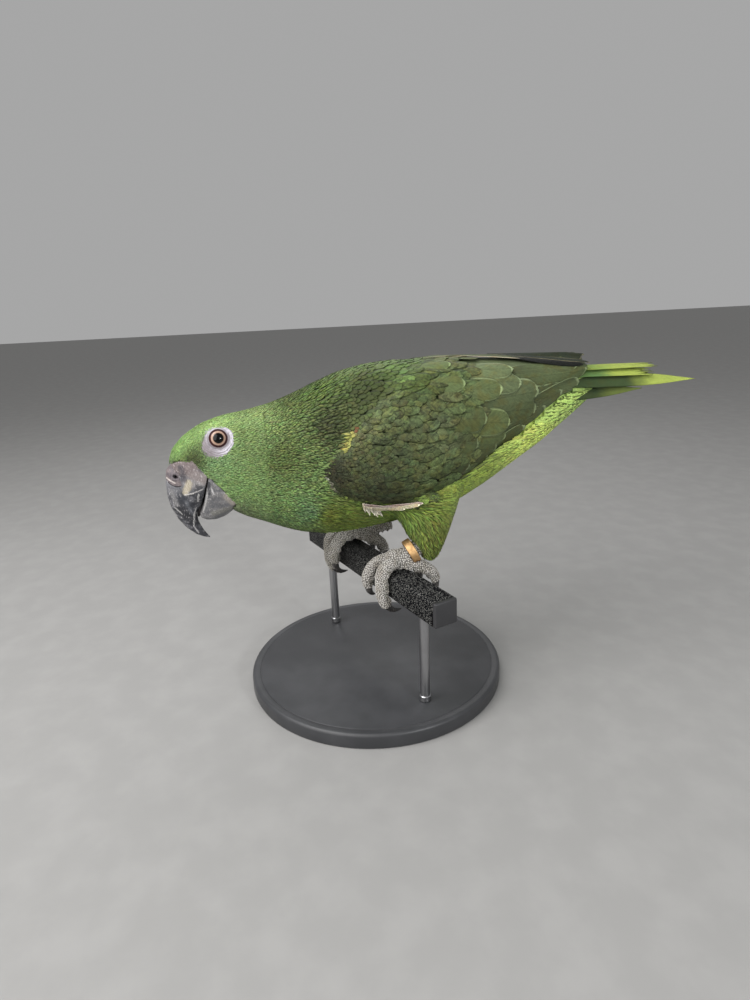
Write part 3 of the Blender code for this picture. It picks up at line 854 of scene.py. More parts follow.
@dataclass(frozen=True)
class FeatherFinish(Finish):
    """Plumage: colours stored on each feather, with barbs, a shaft, a pale or dark edge, and painted shade
    towards the hidden root.
    """

    barbs: float = 2.6  # barbs to the millimetre
    relief: float = 0.3
    mottle: float = 0.22  # how uneven its tone is
    roughness: float = 0.62
    sheen: float = 0.06
    rim: tuple[float, float] = (0.80, 0.97)  # where a large feather's edge tone sets in, across and along it
    ending: tuple[float, float] = (0.94, 0.985)

    def fill(self, graph: Graph, place: Value) -> Material:
        """Fills in the shader."""
        across, along, length = graph.parts(graph.attribute("vane", "Vector"))
        side = abs(across)
        fringe, strength = graph.attribute("fringe"), graph.attribute("fringe", "Alpha")
        mottle = graph.noise(place, 900.0, 2.0)
        slant = along * length - side * length * 0.3
        wave = ((slant + mottle * 0.5) * (self.barbs * math.tau)).sine()
        large = length.ramp(8.0, 20.0)
        small_rim = side.ramp(0.55, 1.0).largest(along.ramp(0.80, 1.0))
        drift = graph.noise(place, 160.0, 3.0)
        large_rim = side.ramp(*self.rim).largest((along + (drift - 0.5) * 0.05).ramp(*self.ending))
        edge = small_rim + (large_rim - small_rim) * large
        tint = graph.attribute("tint")
        hue, _, _ = graph.parts(tint)
        grain = graph.vector(slant * (self.barbs * 0.58), across * length * 0.07, hue * 300.0)
        streak = graph.noise(grain, 1.0, 3.0, 0.65)
        olive = graph.mix(1.0, tint, (1.0, 0.86, 0.72), "MULTIPLY")
        tint = graph.mix(drift.ramp(0.42, 0.62) * min(1.0, self.mottle * 1.6), tint, olive)
        base = graph.mix(edge * strength, tint, fringe)
        shaft = side.ramp(0.0, 0.05, 1.0, 0.0) * large
        # Painted shade: darker towards the root, where the next feather overlaps it.
        root = along.ramp(0.0, 0.55, 0.72, 1.0)
        fleck = streak.ramp(0.34, 0.66) * 1.05 + mottle.ramp(0.36, 0.64) * 0.45 - 0.75
        calm = length.ramp(16.0, 34.0, 1.0, 0.4)
        # The brightness factor: painted root shade, times the feather's own uneven tone, barbs and shaft.
        light = root * (0.88 + drift * 0.24 + fleck * calm * self.mottle)
        light = light * (1.0 + wave * (self.mottle * 0.35)) * (1.0 - shaft * 0.3)
        graph.bump(wave + streak * 2.0 + mottle * 0.8, self.relief, 0.1 * MM)
        return graph.finish(
            Base_Color=graph.scaled(base, light), Roughness=self.roughness - drift * 0.15,
            Sheen_Weight=self.sheen, Sheen_Roughness=0.5, Specular_IOR_Level=0.22,
        )


@dataclass(frozen=True)
class SkinFinish(Finish):
    """Skin under the coat, with the coat's own colours, darker and finely pebbled."""

    def fill(self, graph: Graph, place: Value) -> Material:
        """Fills in the shader."""
        grain = graph.cells(place, 1400.0)
        folds = graph.noise(place, 420.0, 4.0)
        graph.bump(grain + folds, 0.5, 0.2 * MM)
        colour = graph.scaled(graph.attribute("tint"), 0.55 + folds * 0.6)
        return graph.finish(Base_Color=colour, Roughness=0.6 + grain * 0.2)


@dataclass(frozen=True)
class BareSkinFinish(Finish):
    """Naked wrinkled skin, such as round the eye."""

    pale: Colour
    shade: Colour

    def fill(self, graph: Graph, place: Value) -> Material:
        """Fills in the shader."""
        blotch = graph.noise(place, 500.0, 4.0, 0.6)
        grain = graph.cells(place, 2600.0)
        graph.bump(grain + blotch * 0.5, 0.45, 0.12 * MM)
        tone = graph.mix(blotch.ramp(0.35, 0.7), self.pale, self.shade)
        # The stain attribute turns the skin to its tint: the lid rim's own maroon and grey, and painted shade
        # round the lid, at the lower front and in the creases.
        tone = graph.mix(graph.attribute("stain", "Fac"), tone, graph.attribute("tint"))
        return graph.finish(Base_Color=graph.scaled(tone, 0.78 + grain * 0.4), Roughness=0.5 + blotch * 0.2)


@dataclass(frozen=True)
class EyeFinish(Finish):
    """A wet eyeball: pupil, pinkish iris and a dark maroon rim, by distance from the gaze line."""

    gaze: Place
    pupil: float = 2.95  # mm
    iris: float = 4.1
    rim: float = 5.35

    def fill(self, graph: Graph, place: Value) -> Material:
        """Fills in the shader."""
        x, y, z = graph.parts(place)
        dx, dy, dz = abs(x) / MM - EYE_AT.x / MM, y / MM - EYE_AT.y / MM, z / MM - EYE_AT.z / MM
        down = dx * self.gaze[0] + dy * self.gaze[1] + dz * self.gaze[2]
        reach = (dx * dx + dy * dy + dz * dz - down * down).largest(0.0) ** 0.5
        streak = graph.noise(place, 1500.0, 3.0)
        ring = reach + (streak - 0.5) * 0.35
        colour = graph.mix(ring.ramp(3.0, 3.5), (0.20, 0.12, 0.085), (0.42, 0.275, 0.205))
        colour = graph.mix(streak.ramp(0.45, 0.75) * 0.5, colour, (0.52, 0.37, 0.29))
        colour = graph.mix(ring.ramp(self.iris - 0.2, self.iris + 0.2), colour, (0.040, 0.013, 0.013))
        pupil = reach.ramp(self.pupil - 0.12, self.pupil + 0.12, 1.0, 0.0)
        colour = graph.mix(pupil, colour, (0.0, 0.0, 0.0))
        colour = graph.mix(reach.ramp(self.rim, self.rim + 0.4), colour, (0.12, 0.08, 0.08))
        return graph.finish(
            Base_Color=colour, Roughness=0.3, Coat_Weight=0.7, Coat_Roughness=0.02, Coat_IOR=1.4,
            Specular_IOR_Level=0.03,
        )


@dataclass(frozen=True)
class StainAndLightPatch:
    """A soft patch of another tone along a line seen from the side: a real stain, a painted highlight or
    sheen, or painted shade.
    """

    start: Spot
    end: Spot
    reach: float
    colour: Colour
    share: float = 1.0
    wobble: float = 4.0  # how far its edge strays, in mm
    softness: float = 0.45

    def lay(self, graph: Graph, tone: Value, y: Value, z: Value, ragged: Value) -> Value:
        """Lays the patch over a tone.

        Args:
            graph: The material's graph.
            tone: The colour below.
            y: The place along the bird in mm.
            z: Its height in mm.
            ragged: A noise about zero that frays the patch's edge.

        Returns:
            The new colour.
        """
        way_y, way_z = self.end[0] - self.start[0], self.end[1] - self.start[1]
        from_y, from_z = y - self.start[0], z - self.start[1]
        length = max(way_y**2 + way_z**2, 1e-6)
        share = ((from_y * way_y + from_z * way_z) / length).largest(0.0).smallest(1.0)
        off = ((from_y - share * way_y) ** 2.0 + (from_z - share * way_z) ** 2.0) ** 0.5
        off = off + ragged * self.wobble
        inner, outer = self.reach * (1.0 - self.softness), self.reach * (1.0 + self.softness)
        return graph.mix(off.ramp(inner, outer, self.share, 0.0), tone, self.colour)


@dataclass(frozen=True)
class HornFinish(Finish):
    """Layered horn or soft cere skin, with patches of stain and of painted light and shade, worn places and
    dry flakes.
    """

    dark: Colour
    worn: Colour
    stains_and_painted_light: tuple[StainAndLightPatch, ...]
    dryness: float = 0.5
    roughness: float = 0.38

    def fill(self, graph: Graph, place: Value) -> Material:
        """Fills in the shader."""
        _, y, z = graph.parts(place)
        layers = graph.noise(graph.stretched(place, (1.0, 0.6, 1.3)), 240.0, 5.0, 0.6)
        scuff = graph.noise(graph.stretched(place, (1.0, 2.6, 0.9), (0.5, 0.0, 0.0)), 520.0, 5.0, 0.72)
        grain = graph.cells(place, 1500.0)
        tone = graph.mix(layers.ramp(0.40, 0.62), self.dark, self.worn)
        ragged = (layers - 0.5) * 0.5 + (scuff - 0.5)
        # Each patch lays a stain, painted light or painted shade over the tone.
        for stain in self.stains_and_painted_light:
            tone = stain.lay(graph, tone, y / MM, z / MM, ragged)
        dry = scuff.ramp(0.56, 0.62) * layers.ramp(0.42, 0.54)
        tone = graph.mix(dry * self.dryness, tone, (0.46, 0.44, 0.44))
        tone = graph.scaled(tone, (0.15 + scuff * 1.7) * (0.82 + grain * 0.45))
        graph.bump(layers * 1.2 + scuff * 0.8 + grain * 0.25, 0.55, 0.26 * MM)
        return graph.finish(
            Base_Color=tone, Roughness=self.roughness + scuff * 0.22 + dry * 0.2, Coat_Weight=0.06,
            Coat_Roughness=0.35, Specular_IOR_Level=0.3,
        )


@dataclass(frozen=True)
class ScaleFinish(Finish):
    """Dry pale scales, each darkened down into the seams between them by painted shade."""

    pale: Colour = (0.48, 0.46, 0.43)
    warm: Colour = (0.34, 0.315, 0.275)

    def fill(self, graph: Graph, place: Value) -> Material:
        """Fills in the shader."""
        blotch = graph.noise(place, 240.0, 3.0)
        grain = graph.noise(place, 2600.0, 3.0)
        _, crown, _ = graph.parts(graph.attribute("vane", "Vector"))
        tone = graph.mix(blotch.ramp(0.4, 0.66), self.pale, self.warm)
        tone = graph.mix(graph.attribute("fringe", "Alpha"), tone, graph.attribute("fringe"))
        # Painted shade: each scale darkens from its crown down to its sunk edge in the seams, with a fine
        # grain.
        light = crown.ramp(0.0, 0.8, 0.22, 1.0) * (0.80 + grain * 0.46)
        graph.bump(grain, 0.3, 0.08 * MM)
        return graph.finish(Base_Color=graph.scaled(tone, light), Roughness=0.55 + grain * 0.2)


@dataclass(frozen=True)
class ClawFinish(Finish):
    """Black polished claw horn, greyer and scratched on its curve."""

    def fill(self, graph: Graph, place: Value) -> Material:
        """Fills in the shader."""
        layers = graph.noise(graph.stretched(place, (1.0, 1.0, 0.35)), 900.0, 4.0)
        tone = graph.mix(layers.ramp(0.4, 0.75), (0.020, 0.018, 0.018), (0.085, 0.078, 0.072))
        graph.bump(layers, 0.25, 0.1 * MM)
        return graph.finish(Base_Color=tone, Roughness=0.30 + layers * 0.25)


@dataclass(frozen=True)
class RingFinish(Finish):
    """A gilt leg ring, brushed round and rubbed."""

    def fill(self, graph: Graph, place: Value) -> Material:
        """Fills in the shader."""
        rub = graph.noise(place, 500.0, 4.0)
        lines = graph.noise(graph.stretched(place, (0.4, 3.0, 3.0)), 1500.0, 3.0)
        tone = graph.mix(rub.ramp(0.4, 0.7), (0.66, 0.43, 0.21), (0.50, 0.31, 0.14))
        graph.bump(lines, 0.15, 0.05 * MM)
        return graph.finish(Base_Color=tone, Roughness=0.46 + lines * 0.2, Metallic=1.0)


@dataclass(frozen=True)
class HammertoneFinish(Finish):
    """Hammered paint: silver grains in cells of black."""

    def fill(self, graph: Graph, place: Value) -> Material:
        """Fills in the shader."""
        warp = graph.noise(place, 1500.0, 2.0)
        cells = graph.cells(place, 1000.0)
        veins = graph.noise(place, 1750.0, 3.0, 0.7)
        speck = (veins + warp * 0.25 - cells * 0.35).ramp(0.51, 0.545)
        tone = graph.mix(speck, (0.002, 0.002, 0.003), (0.16, 0.16, 0.15))
        graph.bump(speck + cells * 0.8, 0.4, 0.25 * MM)
        return graph.finish(
            Base_Color=tone, Roughness=0.6 - speck * 0.14, Metallic=speck * 0.2, Specular_IOR_Level=0.1
        )


@dataclass(frozen=True)
class SatinFinish(Finish):
    """Satin paint, moulded plastic or metal with a fine grain."""

    colour: Colour
    worn: Colour
    roughness: float = 0.4
    metallic: float = 0.0
    grain: float = 900.0
    depth: float = 0.05

    def fill(self, graph: Graph, place: Value) -> Material:
        """Fills in the shader."""
        cloud = graph.noise(place, 45.0, 4.0)
        grain = graph.noise(place, self.grain, 3.0)
        tone = graph.mix(cloud.ramp(0.35, 0.75), self.colour, self.worn)
        graph.bump(grain, 0.3, self.depth * MM)
        rough = self.roughness - 0.06 + grain * 0.14
        return graph.finish(Base_Color=tone, Roughness=rough, Metallic=self.metallic)


# ---- the bird's form

GAP = 0.4 * MM  # closes the thin cuts between the solids
FLESH_VOXEL = 1.9 * MM
FOOT_VOXEL = 0.62 * MM
BILL_SHIFT = Vector((0.0, 1.0, -0.7)) * MM
BILL_BASE = np.array((0.0, -112.0, 158.0)) * MM
GAZE = Vector((0.955, 0.08, 0.255)).normalized()
EYE_PATCH = (  # degrees about the gaze line, and the bare skin's reach there in mm
    (0, 8.3), (20, 8.3), (42, 7.6), (64, 7.1), (85, 6.8), (126, 7.3), (153, 7.9), (175, 8.7), (195, 10.0),
    (212, 11.6), (227, 12.4), (245, 12.2), (265, 11.3), (288, 10.3), (307, 9.5), (327, 8.8), (345, 8.4),
)
BODY_AXIS_HEIGHT = 172.0  # mm
MAP_MARGIN = 0.01
WING_TIP = np.array((150.0, 205.0)) * MM  # y, z
QUILL_EDGE = (  # the lower edge of the wing's quills: y, z in mm
    (55, 150), (97, 165), (112, 175.5), (127, 184.5), (140, 191.5), (152, 198),
)
FACE_LINE = (  # where the feathers begin behind the bill: z, y in mm
    (120, -101), (128, -92.5), (133, -87), (137, -83.9), (143, -88.9), (149, -92.0), (154.2, -96.2),
    (155.2, -98.8), (157.6, -101.0), (160.2, -103.8), (163.8, -106.4), (165.0, -112.0), (165.4, -126.0),
)


def settle(item: Item, slot: str, *nodes: str) -> None:
    """Lets a piece ride on the model and stand for CAD nodes, which it hides.

    Args:
        item: The piece.
        slot: A slot's name, which is not used.
        nodes: What it replaces.
    """
    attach(item, "root")
    if nodes:
        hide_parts(*nodes)
    LOG.info("%s: %d faces", item.name, len(item.data.polygons))


def quill_floor(y: Rows) -> Rows:
    """How high the lower edge of the wing's quills lies at places along the bird, all in mm."""
    return np.interp(y, *zip(*QUILL_EDGE))


def eye_outline(turn: Rows) -> Rows:
    """How far the bare skin reaches from the eye's middle, in mm, by the angle from the head's rear."""
    turns, reaches = zip(*EYE_PATCH)
    return np.interp(np.degrees(turn), turns, reaches, period=360.0)


def eye_frame(side: int) -> tuple[Vector, Vector, Vector, Vector]:
    """The middle of one eye and its three directions: out, rearwards and up."""
    out = Vector((GAZE.x * side, GAZE.y, GAZE.z))
    back = (Vector((0.0, 1.0, 0.0)) - out * out.y).normalized()
    return Vector((EYE_AT.x * side, EYE_AT.y, EYE_AT.z)), out, back, out.cross(back) * side


def padded_feet() -> Form:
    """Fuses the toes and shanks, and swells the cushions under the toes.

    Returns:
        The bmesh.
    """
    form = node_copy(*FOOT_NODES)
    grown(form, GAP)
    form = remeshed(form, FOOT_VOXEL, 3)
    grown(form, -GAP)

    def swell(vert: bmesh.types.BMVert) -> float:
        """How far a place of the sole stands out, in pads."""
        off = Vector((0.0, 0.0, TUBE_AXIS_HEIGHT)) - vert.co
        inward = (off - ALONG * off.dot(ALONG)).normalized()
        pad = 0.55 - noise.voronoi(vert.co * 290.0)[0][0]
        return ramp(-0.35, 0.3, vert.normal.dot(inward)) * 2.4 * pad * MM

    grown(form, swell)
    return form


class Body:
    """The whole bird's form: its outer surface, and where its tracts lie."""

    def __init__(self) -> None:
        """Fuses the solids of flesh, and remembers the wings', thighs' and feet's own forms."""
        flesh, cere = node_copy(*FLESH_NODES, *WING_NODES), node_copy("cere")
        bmesh.ops.translate(cere, vec=BILL_SHIFT, verts=cere.verts)
        join(cere, flesh)
        for side in (1, -1):  # fill the eye sockets and the bill's seat
            place = Matrix.Translation(Vector((EYE_AT.x * side, EYE_AT.y, EYE_AT.z)))
            bmesh.ops.create_uvsphere(flesh, u_segments=24, v_segments=16, radius=EYE_RADIUS, matrix=place)
        seat = Matrix.Translation(Vector((0.0, -104.0, 150.0)) * MM)
        bmesh.ops.create_uvsphere(flesh, u_segments=24, v_segments=16, radius=11.5 * MM, matrix=seat)
        grown(flesh, GAP)
        self.fused = remeshed(flesh, FLESH_VOXEL, 4)
        self.outer = Surface(self.fused)
        self.wings = Surface(node_copy(*WING_NODES))
        self.thighs = Surface(node_copy("thigh_left", "thigh_right"))
        self.feet = Surface(node_copy(*FOOT_NODES))

    def on_wing(self, points: Rows) -> Rows:
        """1 on the wings, 0 elsewhere and under their long quills."""
        _, y, z = in_mm(points)
        return ramp(1.6 * MM, 0.8 * MM, self.wings.distance(points)) * ~((y > 85) & (z < quill_floor(y)))

    def on_thigh(self, points: Rows) -> Rows:
        """1 on the thighs, 0 elsewhere."""
        return ramp(2.0 * MM, 0.9 * MM, self.thighs.distance(points))

    def naked(self, points: Rows) -> Rows:
        """1 where the bird has no feathers: round the eyes, and in front of the face's feather line.

        Args:
            points: Places, in metres.

        Returns:
            A number for each place.
        """
        centre, _, back, rise = (np.array(v) for v in eye_frame(1))
        near = mirrored(points) - centre
        along, up = near @ back, near @ rise
        ring = np.hypot(along, up) / MM < eye_outline(np.arctan2(up, along)) - 0.45
        x, y, z = in_mm(points)
        ring &= (y < -70.0) & (np.abs(x) > 6.0)
        brow = (y < -112.0) & (z > 161.6 + 0.48 * (y + 121.5))
        return (ring | ((y < np.interp(z, *zip(*FACE_LINE))) & ~brow)).astype(float)

    def lies(self, points: Rows, normals: Rows) -> Rows:
        """Which way the coat lies.

        Args:
            points: Places, in metres.
            normals: The way out at each.

        Returns:
            A direction along the surface at each.
        """
        side = np.sign(points[:, 0])
        y, z = points[:, 1], points[:, 2]
        lie = np.tile(np.array((0.0, 1.0, 0.0)), (len(points), 1))
        facial = ramp(-62 * MM, -98 * MM, y)[:, None]
        lie = unit(lie * (1 - facial) + unit(points - BILL_BASE) * facial)
        wing = self.on_wing(points)[:, None]
        slope = (WING_TIP[1] - z) / np.maximum(WING_TIP[0] + 40 * MM - y, 30 * MM)
        slope = np.clip(slope, -0.2, 0.5) * ramp(15 * MM, 90 * MM, y)
        slope = slope - 0.25 * ramp(20 * MM, -20 * MM, y) * ramp(165 * MM, 140 * MM, z)
        down = np.column_stack((np.zeros(len(y)), np.ones(len(y)), slope))
        lie = unit(lie * (1 - wing) + unit(down) * wing)
        thigh = (self.on_thigh(points) * ramp(135 * MM, 118 * MM, z))[:, None]
        leg = np.column_stack((side * 0.02, np.full(len(y), 0.45), np.full(len(y), -1.0)))
        lie = unit(lie * (1 - thigh) + unit(leg) * thigh)
        return unit(lie - normals * (lie * normals).sum(axis=1)[:, None])


@dataclass
class Skin:
    """The one skin of the bird, as deep inside its outer form as the coat is thick."""

    body: Body
    markings: Markings
    scale_grey: Colour = (0.16, 0.15, 0.135)
    gape: Colour = (0.012, 0.010, 0.010)

    def build(self) -> None:
        """Makes the skin from the fused flesh and the fused feet."""
        flesh = self.body.fused
        places = np.array([tuple(v.co) for v in flesh.verts])
        _, y, _ = in_mm(places)
        depths = (1.0 + ramp(-95, -50, y) + 1.3 * ramp(-107, -113, y) + 3.0 * self._sockets(places)) * MM
        flesh.verts.index_update()
        grown(flesh, lambda vert: -(depths[vert.index] + GAP))
        feet = padded_feet()
        grown(feet, -FootScales.DEPTH)
        join(feet, flesh)
        item = dressed("skin", flesh, SkinFinish("parrot_skin").material())
        self._colour(item.data)
        settle(item, "body_feathers", *FLESH_NODES, *FOOT_NODES)

    @staticmethod
    def _sockets(places: Rows) -> Rows:
        """1 under the eyelids, 0 away from the eyes."""
        centre, out, _, _ = (np.array(v) for v in eye_frame(1))
        near = mirrored(places) - centre
        height = near @ out
        return ramp(9.0 * MM, 7.0 * MM, np.linalg.norm(near - height[:, None] * out, axis=1)) * (height > 0.0)

    def _colour(self, mesh: bpy.types.Mesh) -> None:
        """Stores the markings on the skin.

        Args:
            mesh: The skin's mesh.
        """
        places = np.empty(len(mesh.vertices) * 3)
        mesh.vertices.foreach_get("co", places)
        places = places.reshape(-1, 3)
        tints = self.markings.colours(places, self.body.on_wing(self.body.outer.nearest(places)[0]))
        tints = toned(tints, self.scale_grey, ramp(1.5 * MM, 0.5 * MM, self.body.feet.distance(places)))
        _, y, z = in_mm(places)
        write_colours(mesh, "tint", toned(tints, self.gape, self.body.naked(places) * (y < -80) * (z < 170)))


class Side(Enum):
    """Which side of the bird, by the sign of x."""

    LEFT = 1
    RIGHT = -1

    @property
    def word(self) -> str:
        """The side's name in the names of pieces."""
        return self.name.lower()


@dataclass(frozen=True)
class Tract:
    """One kind of plumage: the form of its feathers, and their sizes in steps between feathers."""

    name: str
    form: VaneForm
    length: float
    width: float
    depth: float  # mm, how far the roots sink in
    seed: int
    spread: float = 0.13
    contrast: float = 0.13
    edge: float = 0.6
    rim: float = 0.85  # how light its edge is, beside the rest
    loose: float = 0.06  # how far its tips stand off, in steps between feathers
    sink: float = 0.0  # mm, how much deeper its tips lie under the wing's quills


HEAD = Tract("head_coat", SMALL_VANE, 4.4, 1.15, 0.45, 11, 0.14, 0.15)
NECK = Tract("neck_coat", SMALL_VANE, 4.0, 1.3, 0.6, 12, 0.17, 0.20, 0.75, 0.5)
BACK = Tract("back_coat", FINE_VANE, 2.8, 1.5, 0.6, 14, 0.12, 0.13, 0.7, 0.5)
BELLY = Tract("belly_coat", HAIR_VANE, 6.0, 0.75, 0.9, 13, 0.16, 0.24, 0.6, 0.85, 0.6)
UNDERTAIL = Tract("undertail_coat", FLUFF_VANE, 8.0, 2.2, 0.3, 15, 0.05, 0.10, 0.25, 0.95, 0.02)
COVERTS = Tract("coverts", COVERT_VANE, 3.1, 1.6, 0.38, 21, 0.14, 0.12, 0.5, 0.8, 0.05, 1.1)


@dataclass
class Plumage:
    """Lays the tracts of small feathers over the body, and the quills over the wings."""

    body: Body
    markings: Markings

    def feathers(self, tract: Tract, roots: Rows, pitch: Rows, rng: np.random.Generator) -> Plumes:
        """Gives each feather of a tract its size, lie and colour.

        Args:
            tract: The kind of plumage.
            roots: Where the feathers start.
            pitch: The distance between them there.
            rng: Random numbers.

        Returns:
            The feathers.
        """
        count = len(roots)
        _, normals = self.body.outer.nearest(roots)
        lies = self.body.lies(roots, normals)
        lies = unit(lies + np.cross(lies, normals) * rng.normal(0.0, tract.spread, (count, 1)))
        lengths = pitch * tract.length * rng.uniform(0.85, 1.15, count)
        for _ in range(4):
            over = self.body.naked(roots + lies * lengths[:, None]) > 0.5
            lengths = np.where(over, lengths * 0.75, lengths)
        tips, _ = self.body.outer.nearest(roots + lies * lengths[:, None])
        tints = self.markings.colours(tips, self.body.on_wing(roots))
        tints = tints * rng.normal(1.0, tract.contrast, (count, 1)).clip(0.45, 1.6)
        tints = tints * (1.0 + rng.normal(0.0, tract.contrast * 0.35, (count, 3)))
        shade = tract.rim * rng.uniform(0.6, 1.4, (count, 1))
        pale = ramp(4.2 * MM, 7.0 * MM, pitch)[:, None]
        rims = tints * shade * (1 - pale) + (tints * 1.45 + 0.015) * pale
        sink = tract.sink * MM * ramp(38 * MM, 58 * MM, roots[:, 1])
        return Plumes(
            roots, lies, lengths, pitch * tract.width * rng.uniform(0.85, 1.15, count),
            np.full(count, tract.depth * MM) + sink * 0.5,
            rng.uniform(-0.05, tract.loose, count) * pitch - sink, tints,
            np.column_stack((rims, np.full(count, tract.edge))),
        )

    def cover(self, tract: Tract, pitch: Callable, keep: Callable, finish: Material) -> Coat:
        """Covers one tract.

        Args:
            tract: The kind of plumage.
            pitch: The distance between feathers at rows of points.
            keep: Where the tract lies.
            finish: The material.

        Returns:
            The coat piece, not yet an object.
        """
        rng = np.random.default_rng(tract.seed)
        roots = self.body.outer.seeds(pitch, keep, rng)
        coat = Coat(tract.name, self.body.outer, rng, finish)
        coat.lay(self.feathers(tract, roots, pitch(roots), rng), tract.form)
        return coat

    def build(self, finish: Material) -> None:
        """Covers the head, neck, trunk and thighs.

        Args:
            finish: The material.
        """
        body = self.body

        def head_pitch(points: Rows) -> Rows:
            """Finest by the bill and the eyes."""
            return (0.52 + 0.26 * ramp(-112, -68, in_mm(points)[1])) * MM

        def trunk_pitch(points: Rows) -> Rows:
            """Growing towards the back."""
            _, y, z = in_mm(points)
            return (0.78 + 0.5 * ramp(-66, -24, y) + 1.7 * ramp(160, 200, z) * ramp(-50, 20, y)) * MM

        def vent(points: Rows) -> Rows:
            """1 on the soft long feathers behind the legs and under the tail."""
            _, y, z = in_mm(points)
            return 1.0 * ((y > 38) & (y < 141) & (z < np.interp(y, (38, 60, 110, 150), (145, 165, 190, 197))))

        def low(points: Rows) -> Rows:
            """1 on the belly, flanks and thighs."""
            _, y, z = in_mm(points)
            return 1.0 * (((y > -38) & (z < 142)) | (body.on_thigh(points) > 0.5))

        def bird(points: Rows) -> Rows:
            """1 off the wings and the long quills under their lower edge."""
            _, y, z = in_mm(points)
            return 1.0 * ((body.on_wing(points) < 0.5) & ~((y > 55) & (z > quill_floor(y)) & (z < 201)))

        def rear_pitch(points: Rows) -> Rows:
            """Growing under the tail."""
            return (1.15 + 0.55 * ramp(45, 110, in_mm(points)[1])) * MM

        def between(points: Rows, start: float, end: float = 999.0) -> Rows:
            """Whether places lie between two distances along the bird, in mm."""
            y = in_mm(points)[1]
            return (y >= start) & (y < end)

        left = replace(HEAD, name="head_coat_left", seed=HEAD.seed + 1)
        right = replace(HEAD, name="head_coat_right", seed=HEAD.seed - 1)
        for tract, pitch, keep in (
            (left, head_pitch, lambda p: between(p, -999, -66) * (p[:, 0] >= 0.0) * (1 - body.naked(p))),
            (right, head_pitch, lambda p: between(p, -999, -66) * (p[:, 0] <= 0.0) * (1 - body.naked(p))),
            (NECK, trunk_pitch, lambda p: bird(p) * between(p, -66, -20) * (1 - low(p))),
            (BACK, trunk_pitch, lambda p: bird(p) * between(p, -20, 136) * (1 - low(p)) * (1 - vent(p))),
            (BELLY, lambda p: np.full(len(p), 1.08 * MM), lambda p: bird(p) * low(p) * (1 - vent(p))),
            (UNDERTAIL, rear_pitch, lambda p: bird(p) * vent(p)),
        ):
            self.cover(tract, pitch, keep, finish).finish("body_feathers")


@dataclass(frozen=True)
class Quill:
    """One large wing feather, by the places of its root and tip seen from the side, in mm."""

    root: Spot
    tip: Spot
    width: float
    level: float  # how far its middle lies under the wing's outer form
    light: float = 1.0
    colour: Optional[Colour] = None


@dataclass(frozen=True)
class Crossed:
    """One feather of the far wing that lies free over the back, by its ends in mm."""

    root: Place
    tip: Place
    width: float
    colour: Colour
    edge: Colour


CREAM = (0.44, 0.41, 0.29)
CROSSED = (
    Crossed((6, 94, 208.2), (12, 143, 206.4), 8, (0.003, 0.004, 0.0025), (0.008, 0.011, 0.006)),
    Crossed((-1, 88, 211), (9.5, 152, 210.6), 9.5, (0.012, 0.018, 0.008), (0.3, 0.27, 0.17)),
    Crossed((-7, 84, 213.4), (3, 152, 215.4), 11.5, (0.016, 0.024, 0.011), (0.2, 0.19, 0.12)),
    Crossed((-7, 38, 214.3), (5.5, 103, 212.6), 10, (0.06, 0.08, 0.035), (0.34, 0.33, 0.22)),
    Crossed((2, 40, 213.4), (9, 99, 211), 3.4, (0.42, 0.39, 0.27), (0.5, 0.46, 0.33)),
)
QUILLS = (
    Quill((50, 149.5), (100, 170), 10.5, 1.3, 0.6), Quill((62, 157), (115, 181), 9, 1.25, 0.62),
    Quill((75, 167), (128, 190), 9, 1.2, 0.66), Quill((88, 178), (140, 196), 9.5, 1.15, 0.74),
    Quill((92, 188), (141, 195), 12, 1.1, 0.8), Quill((88, 201), (146.5, 199.5), 14.5, 1.00, 1.00),
    Quill((90, 207), (138, 205.5), 12, 0.9, 0.9), Quill((36, 157), (72, 152), 16, 1.2, 0.62),
    Quill((42, 164), (77.5, 158.5), 16, 1.05, 0.66), Quill((62, 183), (107, 180.5), 19, 1.1, 0.7),
    Quill((58, 190), (107.5, 191.5), 22, 0.75, 0.95), Quill((46, 172), (83.5, 165.5), 17, 0.85, 0.74),
    Quill((48, 180), (85.6, 174.8), 18, 0.6, 0.85), Quill((50, 203), (94, 198), 17, 0.45, 1.1),
    Quill((46, 208.5), (90, 206.5), 15, 0.35, 1.25), Quill((38, 199), (80, 195.7), 16, 0.2, 1.00),
    Quill((32, 184.5), (67.8, 179.5), 20, 0.15, 0.8), Quill((30, 171), (62, 165), 18, 0.3, 0.74),
    Quill((26, 158), (57, 151), 16, 0.4, 0.6), Quill((20, 203), (55, 201), 15, -0.05, 1.15),
    Quill((15, 211.5), (50, 211.5), 14, -0.05, 1.3), Quill((4, 129.8), (24.5, 131), 3.4, -2.6, 1, CREAM),
    Quill((-6, 131.6), (17, 128.3), 3.6, -2.6, 1, CREAM),
    # The next two are pinkish mauve, darker than the cream below them: the fluff's own tone, with painted
    # shade under the wing's lower edge.
    Quill((0, 132), (26.5, 132.4), 3.2, -2.2, 1, (0.33, 0.27, 0.25)),
    Quill((-9.5, 135.2), (13, 130.6), 3.2, -2.3, 1, (0.33, 0.27, 0.25)),
)
WISPS = tuple(
    Quill(
        (-9.8 + 1.15 * k, 136.2 - 0.6 * k),
        (-8.6 + 1.5 * k + 0.6 * (k % 2), 130.0 - 0.55 * k - 0.9 * (k % 3)), 1.5 + 0.4 * (k % 2), -1.9, 1.0,
        (0.50, 0.47, 0.38),
    )
    for k in range(8)
)


